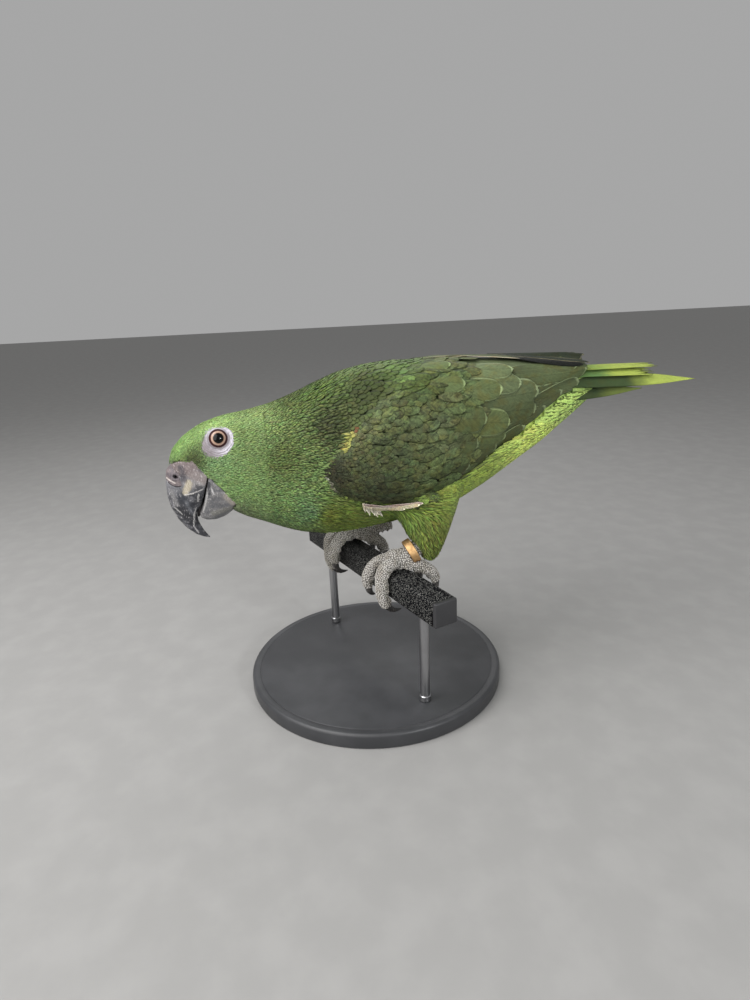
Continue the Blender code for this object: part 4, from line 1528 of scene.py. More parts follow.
@dataclass
class Wing:
    """One folded wing: coverts that grow towards the rear, over its large quills."""

    plumage: Plumage
    side: Side
    finish: Material
    wrist: Spot = (-30.0, 160.0)

    def size(self, points: Rows) -> Rows:
        """The distance between coverts, small at the wrist."""
        _, y, z = in_mm(points)
        reach = np.hypot(y - self.wrist[0], (z - self.wrist[1]) * 0.7)
        return (0.75 + 0.064 * np.minimum(reach, 85.0)) * MM

    def build(self) -> None:
        """Covers the wing."""
        body = self.plumage.body
        tract = replace(COVERTS, name="coverts_" + self.side.word)
        self.plumage.cover(tract, self.size, self._keep, self.finish).finish("wing_feathers")
        large = Coat("quills_" + self.side.word, body.outer, np.random.default_rng(24), self.finish)
        if self.side is Side.RIGHT:
            self._cross(large)
        self._lay(large, QUILLS, QUILL_VANE)
        self._lay(large, WISPS, FLUFF_VANE)
        large.finish("wing_feathers", "wing_" + self.side.word)

    def _keep(self, points: Rows) -> Rows:
        """Whether places of this wing bear coverts."""
        x, y, _ = in_mm(points)
        return (x * self.side.value > 0) * (y < 52) * (self.plumage.body.on_wing(points) > 0.5)

    def _lay(self, coat: Coat, quills: Sequence[Quill], form: VaneForm) -> None:
        """Lays single large feathers.

        Args:
            coat: The piece.
            quills: The feathers.
            form: Their kind.
        """
        roots = np.array([self._outside(quill.root) for quill in quills])
        tips = np.array([self._outside(quill.tip) for quill in quills])
        tints = self.plumage.markings.colours(tips, np.ones(len(roots))) * column(quills, "light")[:, None]
        for index, quill in enumerate(quills):
            tints[index] = quill.colour or tints[index]
        rims = np.column_stack((tints * 3.0 + 0.05, np.full(len(roots), 0.95)))
        plumes = Plumes.between(roots, tips, column(quills, "width"), tints, rims)
        levels = column(quills, "level") * MM
        plumes.depths, plumes.lifts = levels + 0.9 * MM, 0.45 * MM - levels
        coat.lay(plumes, form)

    @staticmethod
    def _cross(coat: Coat) -> None:
        """Lays this wing's tips over the back.

        Args:
            coat: The piece.
        """
        roots, tips, widths, tints, edges = (
            column(CROSSED, name) for name in ("root", "tip", "width", "colour", "edge")
        )
        count = len(roots)
        rims = np.column_stack((edges, np.full(count, 0.9)))
        plumes = Plumes.between(roots * MM, tips * MM, widths, tints, rims)
        facing, sag = np.tile((0.45, 0.0, 0.89), (count, 1)), np.full(count, 0.8 * MM)
        coat.span(plumes, QUILL_VANE, tips * MM, facing, sag)

    def _outside(self, place: Spot) -> Rows:
        """The bird's outermost place on this side, in metres, at a y and z in mm."""
        tree = self.plumage.body.outer.tree
        start = Vector((0.1 * self.side.value, place[0] * MM, place[1] * MM))
        hit = tree.ray_cast(start, Vector((-self.side.value, 0.0, 0.0)))
        if hit[0] is None or hit[0].x * self.side.value < 0.0:
            hit = tree.find_nearest(Vector((0.012 * self.side.value, start.y, start.z)))
        return np.array(hit[0])


@dataclass(frozen=True)
class Rectrix:
    """One tail feather: how far its tip lies to the left, below the ridge and behind, all in mm."""

    side: float
    drop: float
    tip: float
    width: float
    ragged: float = 0.03
    tint: Colour = (0.034, 0.058, 0.018)
    yellow: float = 1.0
    base: float = 0.3  # how much of its drop it has at the root


@dataclass
class Tail:
    """The tail feathers, dark green at the root, yellow and frayed at the end."""

    body: Body
    finish: Material
    root: Place = (0.0, 108.0, 202.5)
    ridge: float = 202.0
    lean: float = math.radians(48.0)
    yellow: Colour = (0.35, 0.43, 0.08)
    feathers: tuple[Rectrix, ...] = (
        Rectrix(14.5, 14.1, 183, 11.5, 0.008, yellow=0.25, base=1.02), Rectrix(-15.5, 14.5, 186, 10),
        Rectrix(-13.5, 12, 192, 13), Rectrix(12.5, 10.8, 223, 16.5, 0.006),
        Rectrix(-10.5, 8.6, 195, 14), Rectrix(-7, 5, 196, 14),
        Rectrix(6.5, 4.2, 191, 11, 0.05, (0.085, 0.165, 0.05)),
        Rectrix(-3.5, 1.6, 195, 14, 0.03, (0.15, 0.24, 0.04)),
        Rectrix(2.5, 0.4, 194, 10, 0.05, (0.22, 0.32, 0.06)),
    )

    def build(self) -> None:
        """Makes the fan."""
        rng = np.random.default_rng(31)
        coat = Coat("tail_fan", self.body.outer, rng, self.finish)
        for index, feather in enumerate(self.feathers):
            lean = self.lean * feather.side / 15.5
            facing = np.array([[math.sin(lean), 0.0, math.cos(lean)]])
            under = 0.35 * (len(self.feathers) - index)
            height = self.root[2] - feather.drop * feather.base - under
            root = np.array([[feather.side * 0.3, self.root[1], height]]) * MM
            tip = np.array([[feather.side, feather.tip, self.ridge - feather.drop]]) * MM
            pointed = feather.ragged < 0.01
            broken = feather.ragged > 0.04
            widths = [
                max(w, 0.9 * broken) * (1.0 - 0.75 * s**3 * pointed)
                for s, w in zip(QUILL_VANE.stations, QUILL_VANE.widths)
            ]
            form = VaneForm(QUILL_VANE.stations, tuple(widths), 15, 0.03, feather.ragged, 0.10, 0.25 * MM)
            tint = np.array([feather.tint]) * (1.0 + 0.12 * rng.normal())
            rim = np.array([[*self.yellow, feather.yellow]])
            plumes = Plumes.between(root, tip, np.array([feather.width]), tint, rim)
            coat.span(plumes, form, tip, facing, np.array([0.6 * MM]))
        coat.finish("tail_feathers", "tail")


@dataclass
class FootScales:
    """Small pebbled scales over the toes and shanks, each a low dome that fills its own cell."""

    DEPTH = 0.35 * MM
    SPACING = 1.12 * MM
    SEAM = 0.05 * MM
    TURNS = np.linspace(0.0, math.tau, 7, endpoint=False)
    RIGHT_FOOT_OLIVE = (0.20, 0.205, 0.13)
    finish: Material

    def build(self) -> None:
        """Covers both feet."""
        rng = np.random.default_rng(41)
        form = padded_feet()
        surface = Surface(form)
        form.free()
        roots = surface.seeds(lambda points: np.full(len(points), self.SPACING), self._open, rng)
        _, normals = surface.nearest(roots)
        first = unit(np.cross(normals, np.array((0.31, 0.2, 0.93))))
        coat = Coat("foot_scales", surface, rng, self.finish)
        self._domes(coat, np.stack((roots, normals, first, np.cross(normals, first))))
        coat.finish("foot_scales")

    @staticmethod
    def _open(points: Rows) -> Rows:
        """Everywhere that the tube doesn't press."""
        half = TUBE_SIDE / 2 + 0.5 * MM
        across, high = np.abs(points @ np.array(AHEAD)), np.abs(points[:, 2] - TUBE_AXIS_HEIGHT)
        return 1.0 - ((across < half) & (high < half))

    def _reach(self, roots: Rows, first: Rows, second: Rows) -> Rows:
        """How far each scale spreads, by scale and corner, before it meets its neighbours.

        Args:
            roots: The scales' middles.
            first: One direction along the surface at each.
            second: The direction across that one.

        Returns:
            The reach.
        """
        tree = point_tree(roots)
        reach = np.full((len(roots), len(self.TURNS)), self.SPACING * 0.72)
        for index, point in enumerate(roots.tolist()):
            for _, other, distance in tree.find_n(point, 8):
                if other == index:
                    continue
                way = roots[other] - roots[index]
                toward = math.atan2(way @ second[index], way @ first[index])
                slant = np.maximum(np.cos(self.TURNS - toward), 0.15)
                reach[index] = np.minimum(reach[index], distance / 2 / slant)
        return reach - self.SEAM

    def _domes(self, coat: Coat, places: Rows) -> None:
        """Adds the domes' meshes to the piece.

        Args:
            coat: The piece.
            places: The scales' middles, the ways out there, and two directions along the surface.
        """
        roots, normals, first, second = places
        count, sides = len(roots), len(self.TURNS)
        cosines, sines = np.cos(self.TURNS), np.sin(self.TURNS)
        around = first[:, None] * cosines[None, :, None] + second[:, None] * sines[None, :, None]
        spread = around * self._reach(roots, first, second)[..., None]
        height = coat.rng.uniform(0.75, 1.1, (count, 1)) * self.DEPTH
        outer = roots[:, None] + spread - normals[:, None] * (self.DEPTH * 1.15)
        inner = roots[:, None] + spread * 0.80 + normals[:, None] * (height[..., None] - self.DEPTH)
        top = (roots + normals * (height * 1.25 - self.DEPTH))[:, None]
        floor = (roots - normals * (self.DEPTH * 1.6))[:, None]
        width = 2 * sides + 2
        # The vane's second number is each point's height on the dome, from which the finish paints shade down
        # into the seams.
        vane = np.zeros((count, width, 3))
        vane[:, sides : 2 * sides, 1] = 0.7
        vane[:, 2 * sides, 1] = 1.0
        # The right foot, at x below zero, takes up to 0.15 of a darker olive tone.
        right_foot_share = ramp(6 * MM, -6 * MM, roots[:, 0]) * 0.15
        stain = np.column_stack((np.tile(self.RIGHT_FOOT_OLIVE, (count, 1)), right_foot_share))
        coat.spread(width, tints=np.full((count, 3), 0.4), fringes=stain, roots=roots)
        flat = np.zeros((count, width, 2))
        flat[:, :sides] = np.column_stack((cosines, sines))
        flat[:, sides : 2 * sides] = flat[:, :sides] * 0.8
        points = np.concatenate((outer, inner, top, floor), axis=1)
        coat.add(points=points, vanes=vane, patches=flat * Coat.PATCH / 2)
        faces = []
        for k in range(sides):
            after = (k + 1) % sides
            faces.append((k, after, sides + after, sides + k))
            faces.append((sides + k, sides + after, 2 * sides, -1))
            faces.append((after, k, 2 * sides + 1, -1))
        coat.repeat(np.array(faces), count, width)


def smooth_claws(finish: Material) -> None:
    """All eight claws, smoothed and joined."""
    names = [name.replace("toe", "claw") for name in FOOT_NODES if name.startswith("toe")]
    settle(dressed("claws", remeshed(node_copy(*names), 0.3 * MM, 3), finish), "claw_horn", *names)


@dataclass
class Eyes:
    """Eyeballs, and the lids and bare skin round them."""

    body: Body
    ball: Material
    skin: Material
    ball_radius: float = EYE_RADIUS / MM
    opening: float = 5.0

    def build(self) -> None:
        """Makes both eyes."""
        for side in Side:
            self._eyeball(side)
            self._lids(side)

    def _eyeball(self, side: Side) -> None:
        """One ball, its pole on the gaze line, with the cornea's slight bulge.

        Args:
            side: Which eye.
        """
        centre, out, back, rise = eye_frame(side.value)
        bm = bmesh.new()
        bmesh.ops.create_uvsphere(bm, u_segments=48, v_segments=36, radius=(self.ball_radius - 0.1) * MM)
        for vert in bm.verts:
            polar = math.degrees(math.acos(max(-1.0, min(1.0, vert.co.normalized().z))))
            vert.co *= 1.0 + 0.035 * (1.0 - ramp(15.0, 50.0, polar))
        turn = Matrix((back, rise * side.value, out)).transposed().to_4x4()
        bmesh.ops.transform(bm, matrix=Matrix.Translation(centre) @ turn, verts=bm.verts)
        settle(dressed("eyeball_" + side.word, bm, self.ball), "eye", "eye_" + side.word)

    def _lids(self, side: Side) -> None:
        """The rolled lid rim and the wrinkled bare skin that runs out under the feathers.

        Args:
            side: Which eye.
        """
        centre, out, back, rise = eye_frame(side.value)
        reaches = np.concatenate((np.linspace(4.95, 6.9, 13), np.linspace(7.05, 10.4, 30)))
        bm = spun([(reach, 0.0, 0.0) for reach in reaches], 120)
        tint = bm.verts.layers.float_color.new("tint")
        # The stain layer holds the lid rim's own dark tone and the painted shade of the skin round it.
        stain = bm.verts.layers.float.new("stain")
        for vert in bm.verts:
            flat = Vector((vert.co.x, vert.co.y, 0.0))
            reach, turn = flat.length / MM, math.atan2(flat.y, flat.x)
            edge = float(eye_outline(np.array(turn)))
            spread = 6.9 + (edge - 6.9) * min((reach - 6.9) / 1.7, 1.0) + max(reach - 8.6, 0.0)
            flat *= (spread / reach) if reach > 6.9 else 1.0
            place = centre + back * flat.x + rise * flat.y
            place += out * self._height(place, out, reach)
            fold = self._fold(place, spread, turn) * ramp(6.6, 7.3, reach)
            vert.co = place + out * (fold * 0.22 * MM)
            inner = ramp(5.6, 5.3, reach)
            # Painted shade at the lower front of the eye.
            front = ramp(1.0, 9.0, (-0.85 * flat.x - 0.5 * flat.y) / MM) * 0.85
            vert[tint] = (*Vector((0.155, 0.13, 0.135)).lerp(Vector((0.06, 0.022, 0.022)), inner), 1.0)
            # Painted shade in the creases between the wrinkles.
            crease = ramp(0.1, -0.8, fold) * 0.8
            # Painted shade round the lid, paler at the top where the light falls.
            shade = ramp(7.2, 6.3, reach) * (0.75 - 0.5 * ramp(0.1, 0.8, math.sin(turn)))
            vert[stain] = max(shade, inner, front + crease * (1.0 - front))
        settle(dressed("lids_" + side.word, bm, self.skin), "cere_skin")

    def _height(self, place: Vector, out: Vector, reach: float) -> float:
        """How far out the skin lies, along the gaze line, from the plane through the eye's middle.

        Args:
            place: The place in that plane.
            out: The gaze line.
            reach: The distance from the gaze line before the skin is spread, in mm.

        Returns:
            The height in metres.
        """
        ball = math.sqrt(max(0.0, (self.ball_radius + 0.05) ** 2 - reach**2)) * MM
        hit = self.body.outer.tree.ray_cast(place + out * 0.03, -out)
        ground = 0.03 - hit[3] - GAP if hit[0] else ball
        level = ball + (ground - ball) * ramp(5.5, 6.9, reach)
        roll = 0.62 * math.exp(-(((reach - 5.85) / 0.5) ** 2)) - 0.9 * ramp(5.25, 4.9, reach)
        hollow = -0.25 * math.exp(-(((reach - 6.9) / 0.35) ** 2))
        sink = -1.3 * ramp(8.7, 10.4, reach)
        return level + (roll + hollow + sink + 0.1) * MM

    @staticmethod
    def _fold(place: Vector, spread: float, turn: float) -> float:
        """How high the wrinkles stand at a place of the bare skin, about -1 to 1."""
        wobble = noise.noise(place * 260.0) * 3.2 + noise.noise(place * 90.0) * 2.0
        strength = 0.6 + 0.4 * math.cos(turn - math.radians(250.0))
        wrinkle = math.sin(math.tau * spread / 1.25 + wobble) * strength
        return wrinkle * 0.75 + 0.45 * noise.noise(place * 800.0)


NOSTRIL = (-117.6, 155.6)
CERE_TONE = (0.165, 0.134, 0.132)
UPPER_STAINS_AND_PAINTED_LIGHT = (
    # Painted light: a paler grey band along the lit top of the upper mandible.
    StainAndLightPatch((-121.5, 148), (-113, 151), 4, (0.165, 0.165, 0.178), 0.7),
    StainAndLightPatch((-120.8, 146), (-119, 137), 1.5, (0.21, 0.205, 0.205), 0.6, 3, 0.7),
    StainAndLightPatch((-114.5, 142), (-110.5, 134), 3, (0.04, 0.043, 0.052), 0.8, 3, 0.7),
    # Painted shade: near black low on the upper mandible, towards the tip.
    StainAndLightPatch((-117.5, 134), (-110, 124.5), 3, (0.022, 0.022, 0.026), 0.8, 4, 0.6),
    # Painted sheen: a pale bluish-grey streak through the dark middle of the upper mandible.
    StainAndLightPatch((-113, 139), (-110.5, 130), 0.9, (0.14, 0.145, 0.16), 0.6, 2, 0.8),
    StainAndLightPatch((-109.5, 151.5), (-103, 152.5), 3.4, (0.27, 0.255, 0.255), 0.85, 6),
    StainAndLightPatch((-112.6, 145.2), (-109.8, 152.3), 1.7, (0.37, 0.33, 0.255), 1, 3.5, 0.5),
    StainAndLightPatch((-110.6, 148), (-109.2, 151.8), 1.6, (0.37, 0.33, 0.255), 0.8, 3.5, 0.6),
    StainAndLightPatch((-110, 159.5), (-100.5, 154.8), 3.4, (0.22, 0.19, 0.185), 0.95),
    StainAndLightPatch((-116, 160.5), (-105.5, 164), 4.2, CERE_TONE, 1, 2),
    StainAndLightPatch((-122, 160), (-116, 163), 4.8, CERE_TONE, 1, 2),
    StainAndLightPatch((-113, 161.5), (-112.2, 153.5), 1.7, (0.07, 0.064, 0.073), 0.8, 5.5, 0.8),
    StainAndLightPatch((-104.8, 149), (-100.8, 147.8), 1.6, (0.05, 0.05, 0.057), 0.8),
    StainAndLightPatch((-113.4, 143.7), (-108, 145.2), 0.35, (0.56, 0.54, 0.52), 0.8, 2.2),
    StainAndLightPatch((-108, 145.2), (-102, 147.9), 0.3, (0.5, 0.48, 0.47), 0.7, 2.6),
    StainAndLightPatch((-120.5, 135.5), (-116.6, 131), 0.35, (0.42, 0.41, 0.4), 0.7, 2.6),
    StainAndLightPatch((-104.9, 144.4), (-106.1, 139), 0.42, (0.5, 0.49, 0.48), 0.8, 3.6),
    StainAndLightPatch((-108, 133.9), (-109.8, 129.8), 0.42, (0.54, 0.53, 0.52), 0.85, 3.4),
    StainAndLightPatch((-109.8, 129.8), (-110.9, 122), 0.36, (0.5, 0.49, 0.48), 0.8, 3.2),
    StainAndLightPatch((-110.9, 122), (-108.8, 117), 0.32, (0.42, 0.41, 0.41), 0.7, 2.8),
)
LOWER_STAINS = (
    StainAndLightPatch((-84, 138.5), (-88, 143), 2.8, (0.29, 0.26, 0.225), 0.85, 5),
    StainAndLightPatch((-88, 134), (-98, 130.5), 1.8, (0.21, 0.205, 0.18), 0.6),
    StainAndLightPatch((-98.9, 147.5), (-101.7, 138), 0.4, (0.46, 0.45, 0.44), 0.8, 2.6),
    StainAndLightPatch((-101.7, 138), (-104.2, 131.5), 0.4, (0.42, 0.41, 0.4), 0.8, 2.6),
    StainAndLightPatch((-97.2, 149), (-96, 144.6), 0.5, (0.5, 0.49, 0.49), 0.85, 2.6),
    StainAndLightPatch((-98, 152), (-98.6, 145), 1, (0.04, 0.04, 0.045), 0.85, 2),
)
CERE_STAINS_AND_NOSTRIL_SHADE = (
    StainAndLightPatch((-122.6, 154.2), (-118, 151.6), 0.42, (0.55, 0.5, 0.47), 0.85, 2.2),
    StainAndLightPatch((-114, 161), (-112.8, 152.5), 1.6, (0.075, 0.069, 0.078), 0.8, 5, 0.8),
    StainAndLightPatch(NOSTRIL, NOSTRIL, 2.9, (0.1, 0.086, 0.096), 0.8, 2.5),
    # Painted shade: a near-black disc for the nostril's opening.
    StainAndLightPatch(NOSTRIL, NOSTRIL, 1.2, (0.008, 0.006, 0.008), 1, 0.3, 0.25),
)


@dataclass(frozen=True)
class Bill:
    """The two mandibles and the cere, which run back to where the feathers begin."""

    voxel: float = 0.42 * MM
    nostril_radius: float = 1.2
    gape: tuple[Spot, ...] = ((-98.1, 155.0), (-102.2, 141.0))
    edge: tuple[Place, ...] = ((9.5, -101.0, 147.0), (6.0, -103.0, 139.5), (4.2, -105.5, 134.0))

    def build(self) -> None:
        """Makes the bill's pieces."""
        upper = HornFinish("upper_horn", (0.040, 0.041, 0.047), (0.115, 0.115, 0.125), UPPER_STAINS_AND_PAINTED_LIGHT)
        lower = HornFinish("lower_horn", (0.115, 0.115, 0.122), (0.185, 0.180, 0.182), LOWER_STAINS, 0.35)
        cere = HornFinish("cere_skin", (0.115, 0.098, 0.106), CERE_TONE, CERE_STAINS_AND_NOSTRIL_SHADE, 0.1, 0.5)
        for node, way, finish, slot in (
            ("bill_upper", 1.0, upper, "bill_horn"), ("bill_lower", -1.0, lower, "bill_horn"),
            ("cere", 0.0, cere, "cere_skin"),
        ):
            bm = node_copy(node)
            bmesh.ops.translate(bm, vec=BILL_SHIFT, verts=bm.verts)
            if way:
                self._add_face(bm, way)
            bm = remeshed(bm, self.voxel, 3)
            self._weather(bm, node)
            settle(dressed(node + "_form", bm, finish.material()), slot, node)
        self._mouth()

    def _add_face(self, bm: Form, way: float) -> None:
        """Adds the part of the head in front of the feathers that is horn.

        Args:
            bm: The mandible.
            way: 1 for the upper one, -1 for the lower one.
        """
        part = node_copy("head")
        grown(part, 0.15 * MM)
        for line, clear in (
            (((-98.9, 155.4), (-84.2, 137.0)), -1.3), (((-118.0, 164.0), (-105.0, 166.4)), -0.1),
            (((-122.5, 160.6), (-113.0, 165.3)), -0.2),
        ):
            self._cut(part, line, -1.0, clear)
        self._cut(part, self.gape, -way, 0.45)
        if way > 0.0:
            near = [v.co.copy() for v in bm.verts if v.co.y > -0.115 and 0.131 < v.co.z < 0.157]
            near += [v.co.copy() for v in part.verts if v.co.z < 0.157 and v.co.y < -0.100]
            near += [Vector((side * x, y, z)) * MM for x, y, z in self.edge for side in (1, -1)]
        else:
            self._cut(part, ((-83.6, 138.2), (-91.0, 131.0)), -1.0, 0.0)
            near = [v.co.copy() for form in (bm, part) for v in form.verts]
        bridge = bmesh.new()
        for place in near:
            bridge.verts.new(place)
        hull = bmesh.ops.convex_hull(bridge, input=bridge.verts)
        inside = [v for v in set(hull["geom_interior"]) if isinstance(v, bmesh.types.BMVert)]
        bmesh.ops.delete(bridge, geom=inside, context="VERTS")
        self._cut(bridge, self.gape, -way, 0.45)
        join(bridge, bm)
        join(part, bm)

    @staticmethod
    def _cut(bm: Form, line: Sequence[Spot], way: float, clear: float) -> None:
        """Cuts off what lies to one side of a line seen from the side, and closes the cut.

        Args:
            bm: The form.
            line: Two places, y and z in mm.
            way: Which side goes: -1 is the side above and behind.
            clear: How much more is cut off, in mm.
        """
        (y0, z0), (y1, z1) = line
        normal = Vector((0.0, z1 - z0, y0 - y1)).normalized() * way
        place = Vector((0.0, y0, z0)) * MM - normal * clear * MM
        every = [*bm.verts, *bm.edges, *bm.faces]
        bmesh.ops.bisect_plane(bm, geom=every, plane_co=place, plane_no=normal, clear_outer=True)
        bmesh.ops.holes_fill(bm, edges=[edge for edge in bm.edges if edge.is_boundary])

    def _mouth(self) -> None:
        """The dark inside of the mouth, seen between the mandibles."""
        bm = bmesh.new()
        bmesh.ops.create_uvsphere(bm, u_segments=24, v_segments=16, radius=MM)
        bmesh.ops.scale(bm, vec=(4.2, 2.6, 15.2), verts=bm.verts)
        place, tilt = Vector((0.0, -103.3, 141.0)) * MM, Matrix.Rotation(math.radians(-17.0), 4, "X")
        bmesh.ops.transform(bm, matrix=Matrix.Translation(place) @ tilt, verts=bm.verts)
        dark, light = (0.010, 0.009, 0.010), (0.020, 0.017, 0.018)
        flesh = SatinFinish("mouth_flesh", dark, light, 0.45, grain=500.0, depth=0.2)
        settle(dressed("mouth", bm, flesh.material()), "bill_horn")

    def _weather(self, bm: Form, node: str) -> None:
        """Gives a form its growth waves, dents and flaking edge, and the cere its nostril rims.

        Args:
            bm: The form.
            node: Which one it is.
        """

        def worn(vert: bmesh.types.BMVert) -> float:
            """How far one place stands out."""
            coarse = noise.fractal(vert.co * 230.0, 1.0, 2.0, 3)
            shift = (0.10 * coarse + 0.05 * noise.noise(vert.co * 900.0)) * MM
            if node == "cere":
                away = math.hypot(vert.co.y / MM - NOSTRIL[0], vert.co.z / MM - NOSTRIL[1])
                shift += 0.42 * math.exp(-(((away - self.nostril_radius - 0.8) / 0.7) ** 2)) * MM
            return shift

        grown(bm, worn)


@dataclass
class LegRing:
    """The closed metal ring round the left shank, its rims rounded."""

    finish: Material
    outer: float = 8.0
    inner: float = 6.9
    width: float = 5.0
    rounding: float = 0.45

    def build(self) -> None:
        """Turns the ring's section round the axis of its CAD node."""
        bm = node_copy("leg_band")
        places = np.array([tuple(v.co) for v in bm.verts])
        bm.free()
        centre = (places.max(axis=0) + places.min(axis=0)) / 2
        axis = Vector(np.linalg.svd(places - places.mean(axis=0))[2][2])
        wall, half = (self.outer - self.inner) / 2 - self.rounding, self.width / 2 - self.rounding
        section = []
        for quarter, (x, z) in enumerate(((wall, half), (-wall, half), (-wall, -half), (wall, -half))):
            for step in range(6):
                turn = math.radians(90 * quarter + 18 * step)
                x_at = (self.outer + self.inner) / 2 + x + self.rounding * math.cos(turn)
                section.append((x_at, 0.0, z + self.rounding * math.sin(turn)))
        ring = spun([*section, section[0]], 96)
        turn = axis.to_track_quat("Z", "Y").to_matrix().to_4x4()
        bmesh.ops.transform(ring, matrix=Matrix.Translation(Vector(centre)) @ turn, verts=ring.verts)
        settle(dressed("gilt_ring", ring, self.finish), "ring_metal", "leg_band")


@dataclass
class Perch:
    """The cut length of hammered square tube with a plug in each end."""

    paint: Material
    plug: Material
    length: float = 164.0
    rounding: float = 1.8

    def build(self) -> None:
        """Makes the tube and its plugs."""
        width = TUBE_SIDE / MM
        bar = self._block((self.length, width, width), self.rounding, 5)
        settle(dressed("perch_tube", bar, self.paint), "perch_paint", "perch_bar")
        for side in Side:
            low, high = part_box("perch_cap_" + side.word)
            middle = (Vector(low) + Vector(high)) / 2
            cap = self._block((3.0, width - 0.4, width - 0.4), 1.1, 4)
            shift = middle - Vector((0.0, 0.0, TUBE_AXIS_HEIGHT))
            bmesh.ops.translate(cap, vec=shift, verts=cap.verts)
            plug = dressed("perch_plug_" + side.word, cap, self.plug)
            settle(plug, "cap_plastic", "perch_cap_" + side.word)

    def _block(self, size: Place, rounding: float, segments: int) -> Form:
        """A rounded block lying along the tube.

        Args:
            size: Its length, width and height in mm.
            rounding: The radius of its edges in mm.
            segments: Faces across each edge.

        Returns:
            The bmesh.
        """
        bm = bmesh.new()
        bmesh.ops.create_cube(bm, size=MM)
        bmesh.ops.scale(bm, vec=size, verts=bm.verts)
        long_edges = [e for e in bm.edges if abs(e.verts[0].co.x - e.verts[1].co.x) > 0.5 * size[0] * MM]
        chosen = long_edges if size[0] > 10.0 else bm.edges[:]
        bmesh.ops.bevel(
            bm, geom=chosen, offset=rounding * MM, segments=segments, profile=0.5, affect="EDGES", material=-1
        )
        turn = Matrix.Rotation(TUBE_TURN, 4, "Z")
        place = Matrix.Translation(Vector((0.0, 0.0, TUBE_AXIS_HEIGHT)))
        bmesh.ops.transform(bm, matrix=place @ turn, verts=bm.verts)
        return bm


@dataclass
class Stand:
    """The round base and the two rods, turned."""

    base: Material
    rod: Material

    def build(self) -> None:
        """Makes the stand."""
        low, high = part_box("stand_base")
        radius, thick = high[0] / MM, high[2] / MM
        edge = 2.2  # the rounding of the upper edge
        profile = [(0.0, 0.0), (radius - 1.2, 0.0), (radius - 0.35, 0.35)]
        profile += [(radius, 1.2), (radius, thick - edge)]
        for turn in map(math.radians, (20, 40, 60, 80, 90)):
            profile.append((radius - edge + edge * math.cos(turn), thick - edge + edge * math.sin(turn)))
        profile += [(radius - 5.0, thick), (radius - 5.6, thick - 0.35), (radius - 6.2, thick), (0.0, thick)]
        foot = self._turned("stand_foot", profile, Vector((0.0, 0.0, 0.0)), self.base, 144)
        settle(foot, "stand_base_paint", "stand_base")
        for side in Side:
            node = "stand_rod_" + side.word
            low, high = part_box(node)
            middle = Vector(((low[0] + high[0]) / 2, (low[1] + high[1]) / 2, low[2]))
            wide, tall = (high[0] - low[0]) / 2 / MM, (high[2] - low[2]) / MM
            collar = [(0.0, 0.0), (wide - 0.3, 0.0), (wide, 0.3), (wide, 3.4)]
            collar += [(wide - 0.5, 3.9), (wide - 0.5, 4.4)]
            outline = collar + [(x, tall - z) for x, z in reversed(collar)]
            post = self._turned("stand_post_" + side.word, outline, middle, self.rod, 40)
            settle(post, "stand_rod_metal", node)

    @staticmethod
    def _turned(name: str, profile: Sequence[Spot], foot: Vector, finish: Material, steps: int) -> Item:
        """Turns a profile about the vertical.

        Args:
            name: Its name.
            profile: Radius and height pairs in mm, from the middle round and back to it.
            foot: Where its middle stands.
            finish: The material.
            steps: Faces round it.

        Returns:
            The piece.
        """
        bm = spun([(x, 0.0, z) for x, z in profile], steps)
        bmesh.ops.translate(bm, vec=foot, verts=bm.verts)
        item = dressed(name, bm, finish)
        item.data.set_sharp_from_angle(angle=math.radians(35))
        return item


@dataclass(frozen=True)
class Lamp:
    """One soft square light that looks at the bird: its place and side in metres, its power in watts."""

    name: str
    place: Place
    size: float
    power: float
    colour: Colour = (1.0, 1.0, 1.0)

    def hang(self, aim: Vector) -> None:
        """Puts the light up.

        Args:
            aim: The place that it looks at.
        """
        light = bpy.data.lights.new(self.name, "AREA")
        light.size, light.energy, light.color = self.size, self.power, self.colour
        item = placed(self.name, light)
        item.location = self.place
        item.rotation_euler = (aim - Vector(self.place)).to_track_quat("-Z", "Y").to_euler()


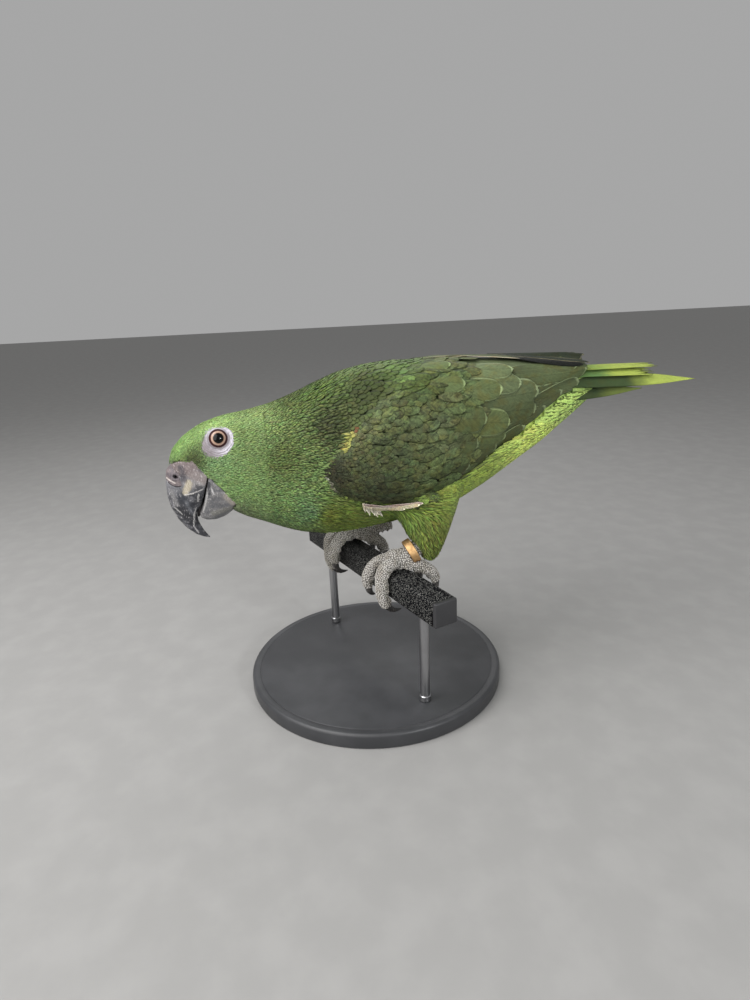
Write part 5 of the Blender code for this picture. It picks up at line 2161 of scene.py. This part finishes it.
@dataclass
class Studio:
    """The floor, the lights, the world and the camera."""

    aim: Vector = Vector((0.0, 0.03, 0.15))
    lamps: tuple[Lamp, ...] = (
        Lamp("key", (0.62, -0.70, 0.66), 1.2, 12.0, (1.0, 0.98, 0.96)),
        Lamp("top", (0.10, -0.50, 0.80), 0.6, 5.0),
        Lamp("window", (0.90, 0.39, 0.39), 0.12, 3.8, (0.97, 0.99, 1.0)),
        Lamp("rim", (-0.6, 0.1, 0.8), 0.7, 1.8),
    )
    wall: float = 0.80
    daylight: float = 0.48
    right: Vector = Vector((0.20862, 0.97711, -0.04160))
    up: Vector = Vector((-0.28605, 0.10164, 0.95281))
    eye: Place = (0.39175, -0.07392, 0.25130)
    focal_length: float = 23.04

    def build(self) -> None:
        """Sets up everything that isn't the object."""
        bm = bmesh.new()
        bmesh.ops.create_grid(bm, x_segments=4, y_segments=4, size=6.0)
        tones = (0.29, 0.287, 0.281), (0.315, 0.311, 0.305)
        paper = SatinFinish("floor_paper", *tones, 0.8, grain=60.0, depth=0.2)
        dressed("floor", bm, paper.material(), turn_out=False)
        for lamp in self.lamps:
            lamp.hang(self.aim)
        world = bpy.data.worlds.new("pale_room")
        world.use_nodes = True
        ground = world.node_tree.nodes["Background"]
        ground.inputs["Color"].default_value = (self.wall, self.wall, self.wall, 1.0)
        ground.inputs["Strength"].default_value = self.daylight
        bpy.context.scene.world = world
        bpy.context.scene.view_settings.view_transform = "Standard"
        self._camera()

    def _camera(self) -> None:
        """The camera, slightly above the bird on its left, turned a little about its own line of sight."""
        lens = bpy.data.cameras.new("viewpoint")
        lens.lens, lens.clip_start = self.focal_length, 0.01
        item = placed("viewpoint", lens)
        item.matrix_world = Matrix((self.right, self.up, self.right.cross(self.up))).transposed().to_4x4()
        item.location = self.eye
        bpy.context.scene.camera = item


def main() -> None:
    """Builds every sub-assembly in order; each piece is reported as it settles."""
    logging.basicConfig(level=logging.INFO, format="%(name)s: %(message)s")
    Studio().build()
    body, markings = Body(), Markings()
    plumage = Plumage(body, markings)
    plumage.build(FeatherFinish("green_feathers").material())
    large = FeatherFinish("wing_feathers", 0.95, 0.4, 0.85, 0.6, 0.02, (0.81, 0.95), (0.950, 0.982))
    wing_finish = large.material()
    for side in Side:
        Wing(plumage, side, wing_finish).build()
    frayed = FeatherFinish("tail_feathers", 1.2, 0.5, 0.5, 0.6, 0.02, (0.99, 1.05), (0.57, 0.76))
    Tail(body, frayed.material()).build()
    FootScales(ScaleFinish("foot_scales").material()).build()
    smooth_claws(ClawFinish("black_claws").material())
    bare = BareSkinFinish("eye_ring_skin", (0.56, 0.535, 0.60), (0.36, 0.34, 0.385))
    Eyes(body, EyeFinish("wet_eye", tuple(GAZE)).material(), bare.material()).build()
    Bill().build()
    LegRing(RingFinish("gilt").material()).build()
    plastic = SatinFinish("plug_plastic", (0.018, 0.018, 0.020), (0.030, 0.030, 0.032), 0.48)
    Perch(HammertoneFinish("hammered_paint").material(), plastic.material()).build()
    enamel = SatinFinish("stand_enamel", (0.030, 0.031, 0.034), (0.045, 0.046, 0.050), 0.42)
    steel = SatinFinish("rod_steel", (0.38, 0.38, 0.39), (0.30, 0.30, 0.31), 0.32, 1.0)
    Stand(enamel.material(), steel.material()).build()
    Skin(body, markings).build()


if __name__ == "__main__":
    main()
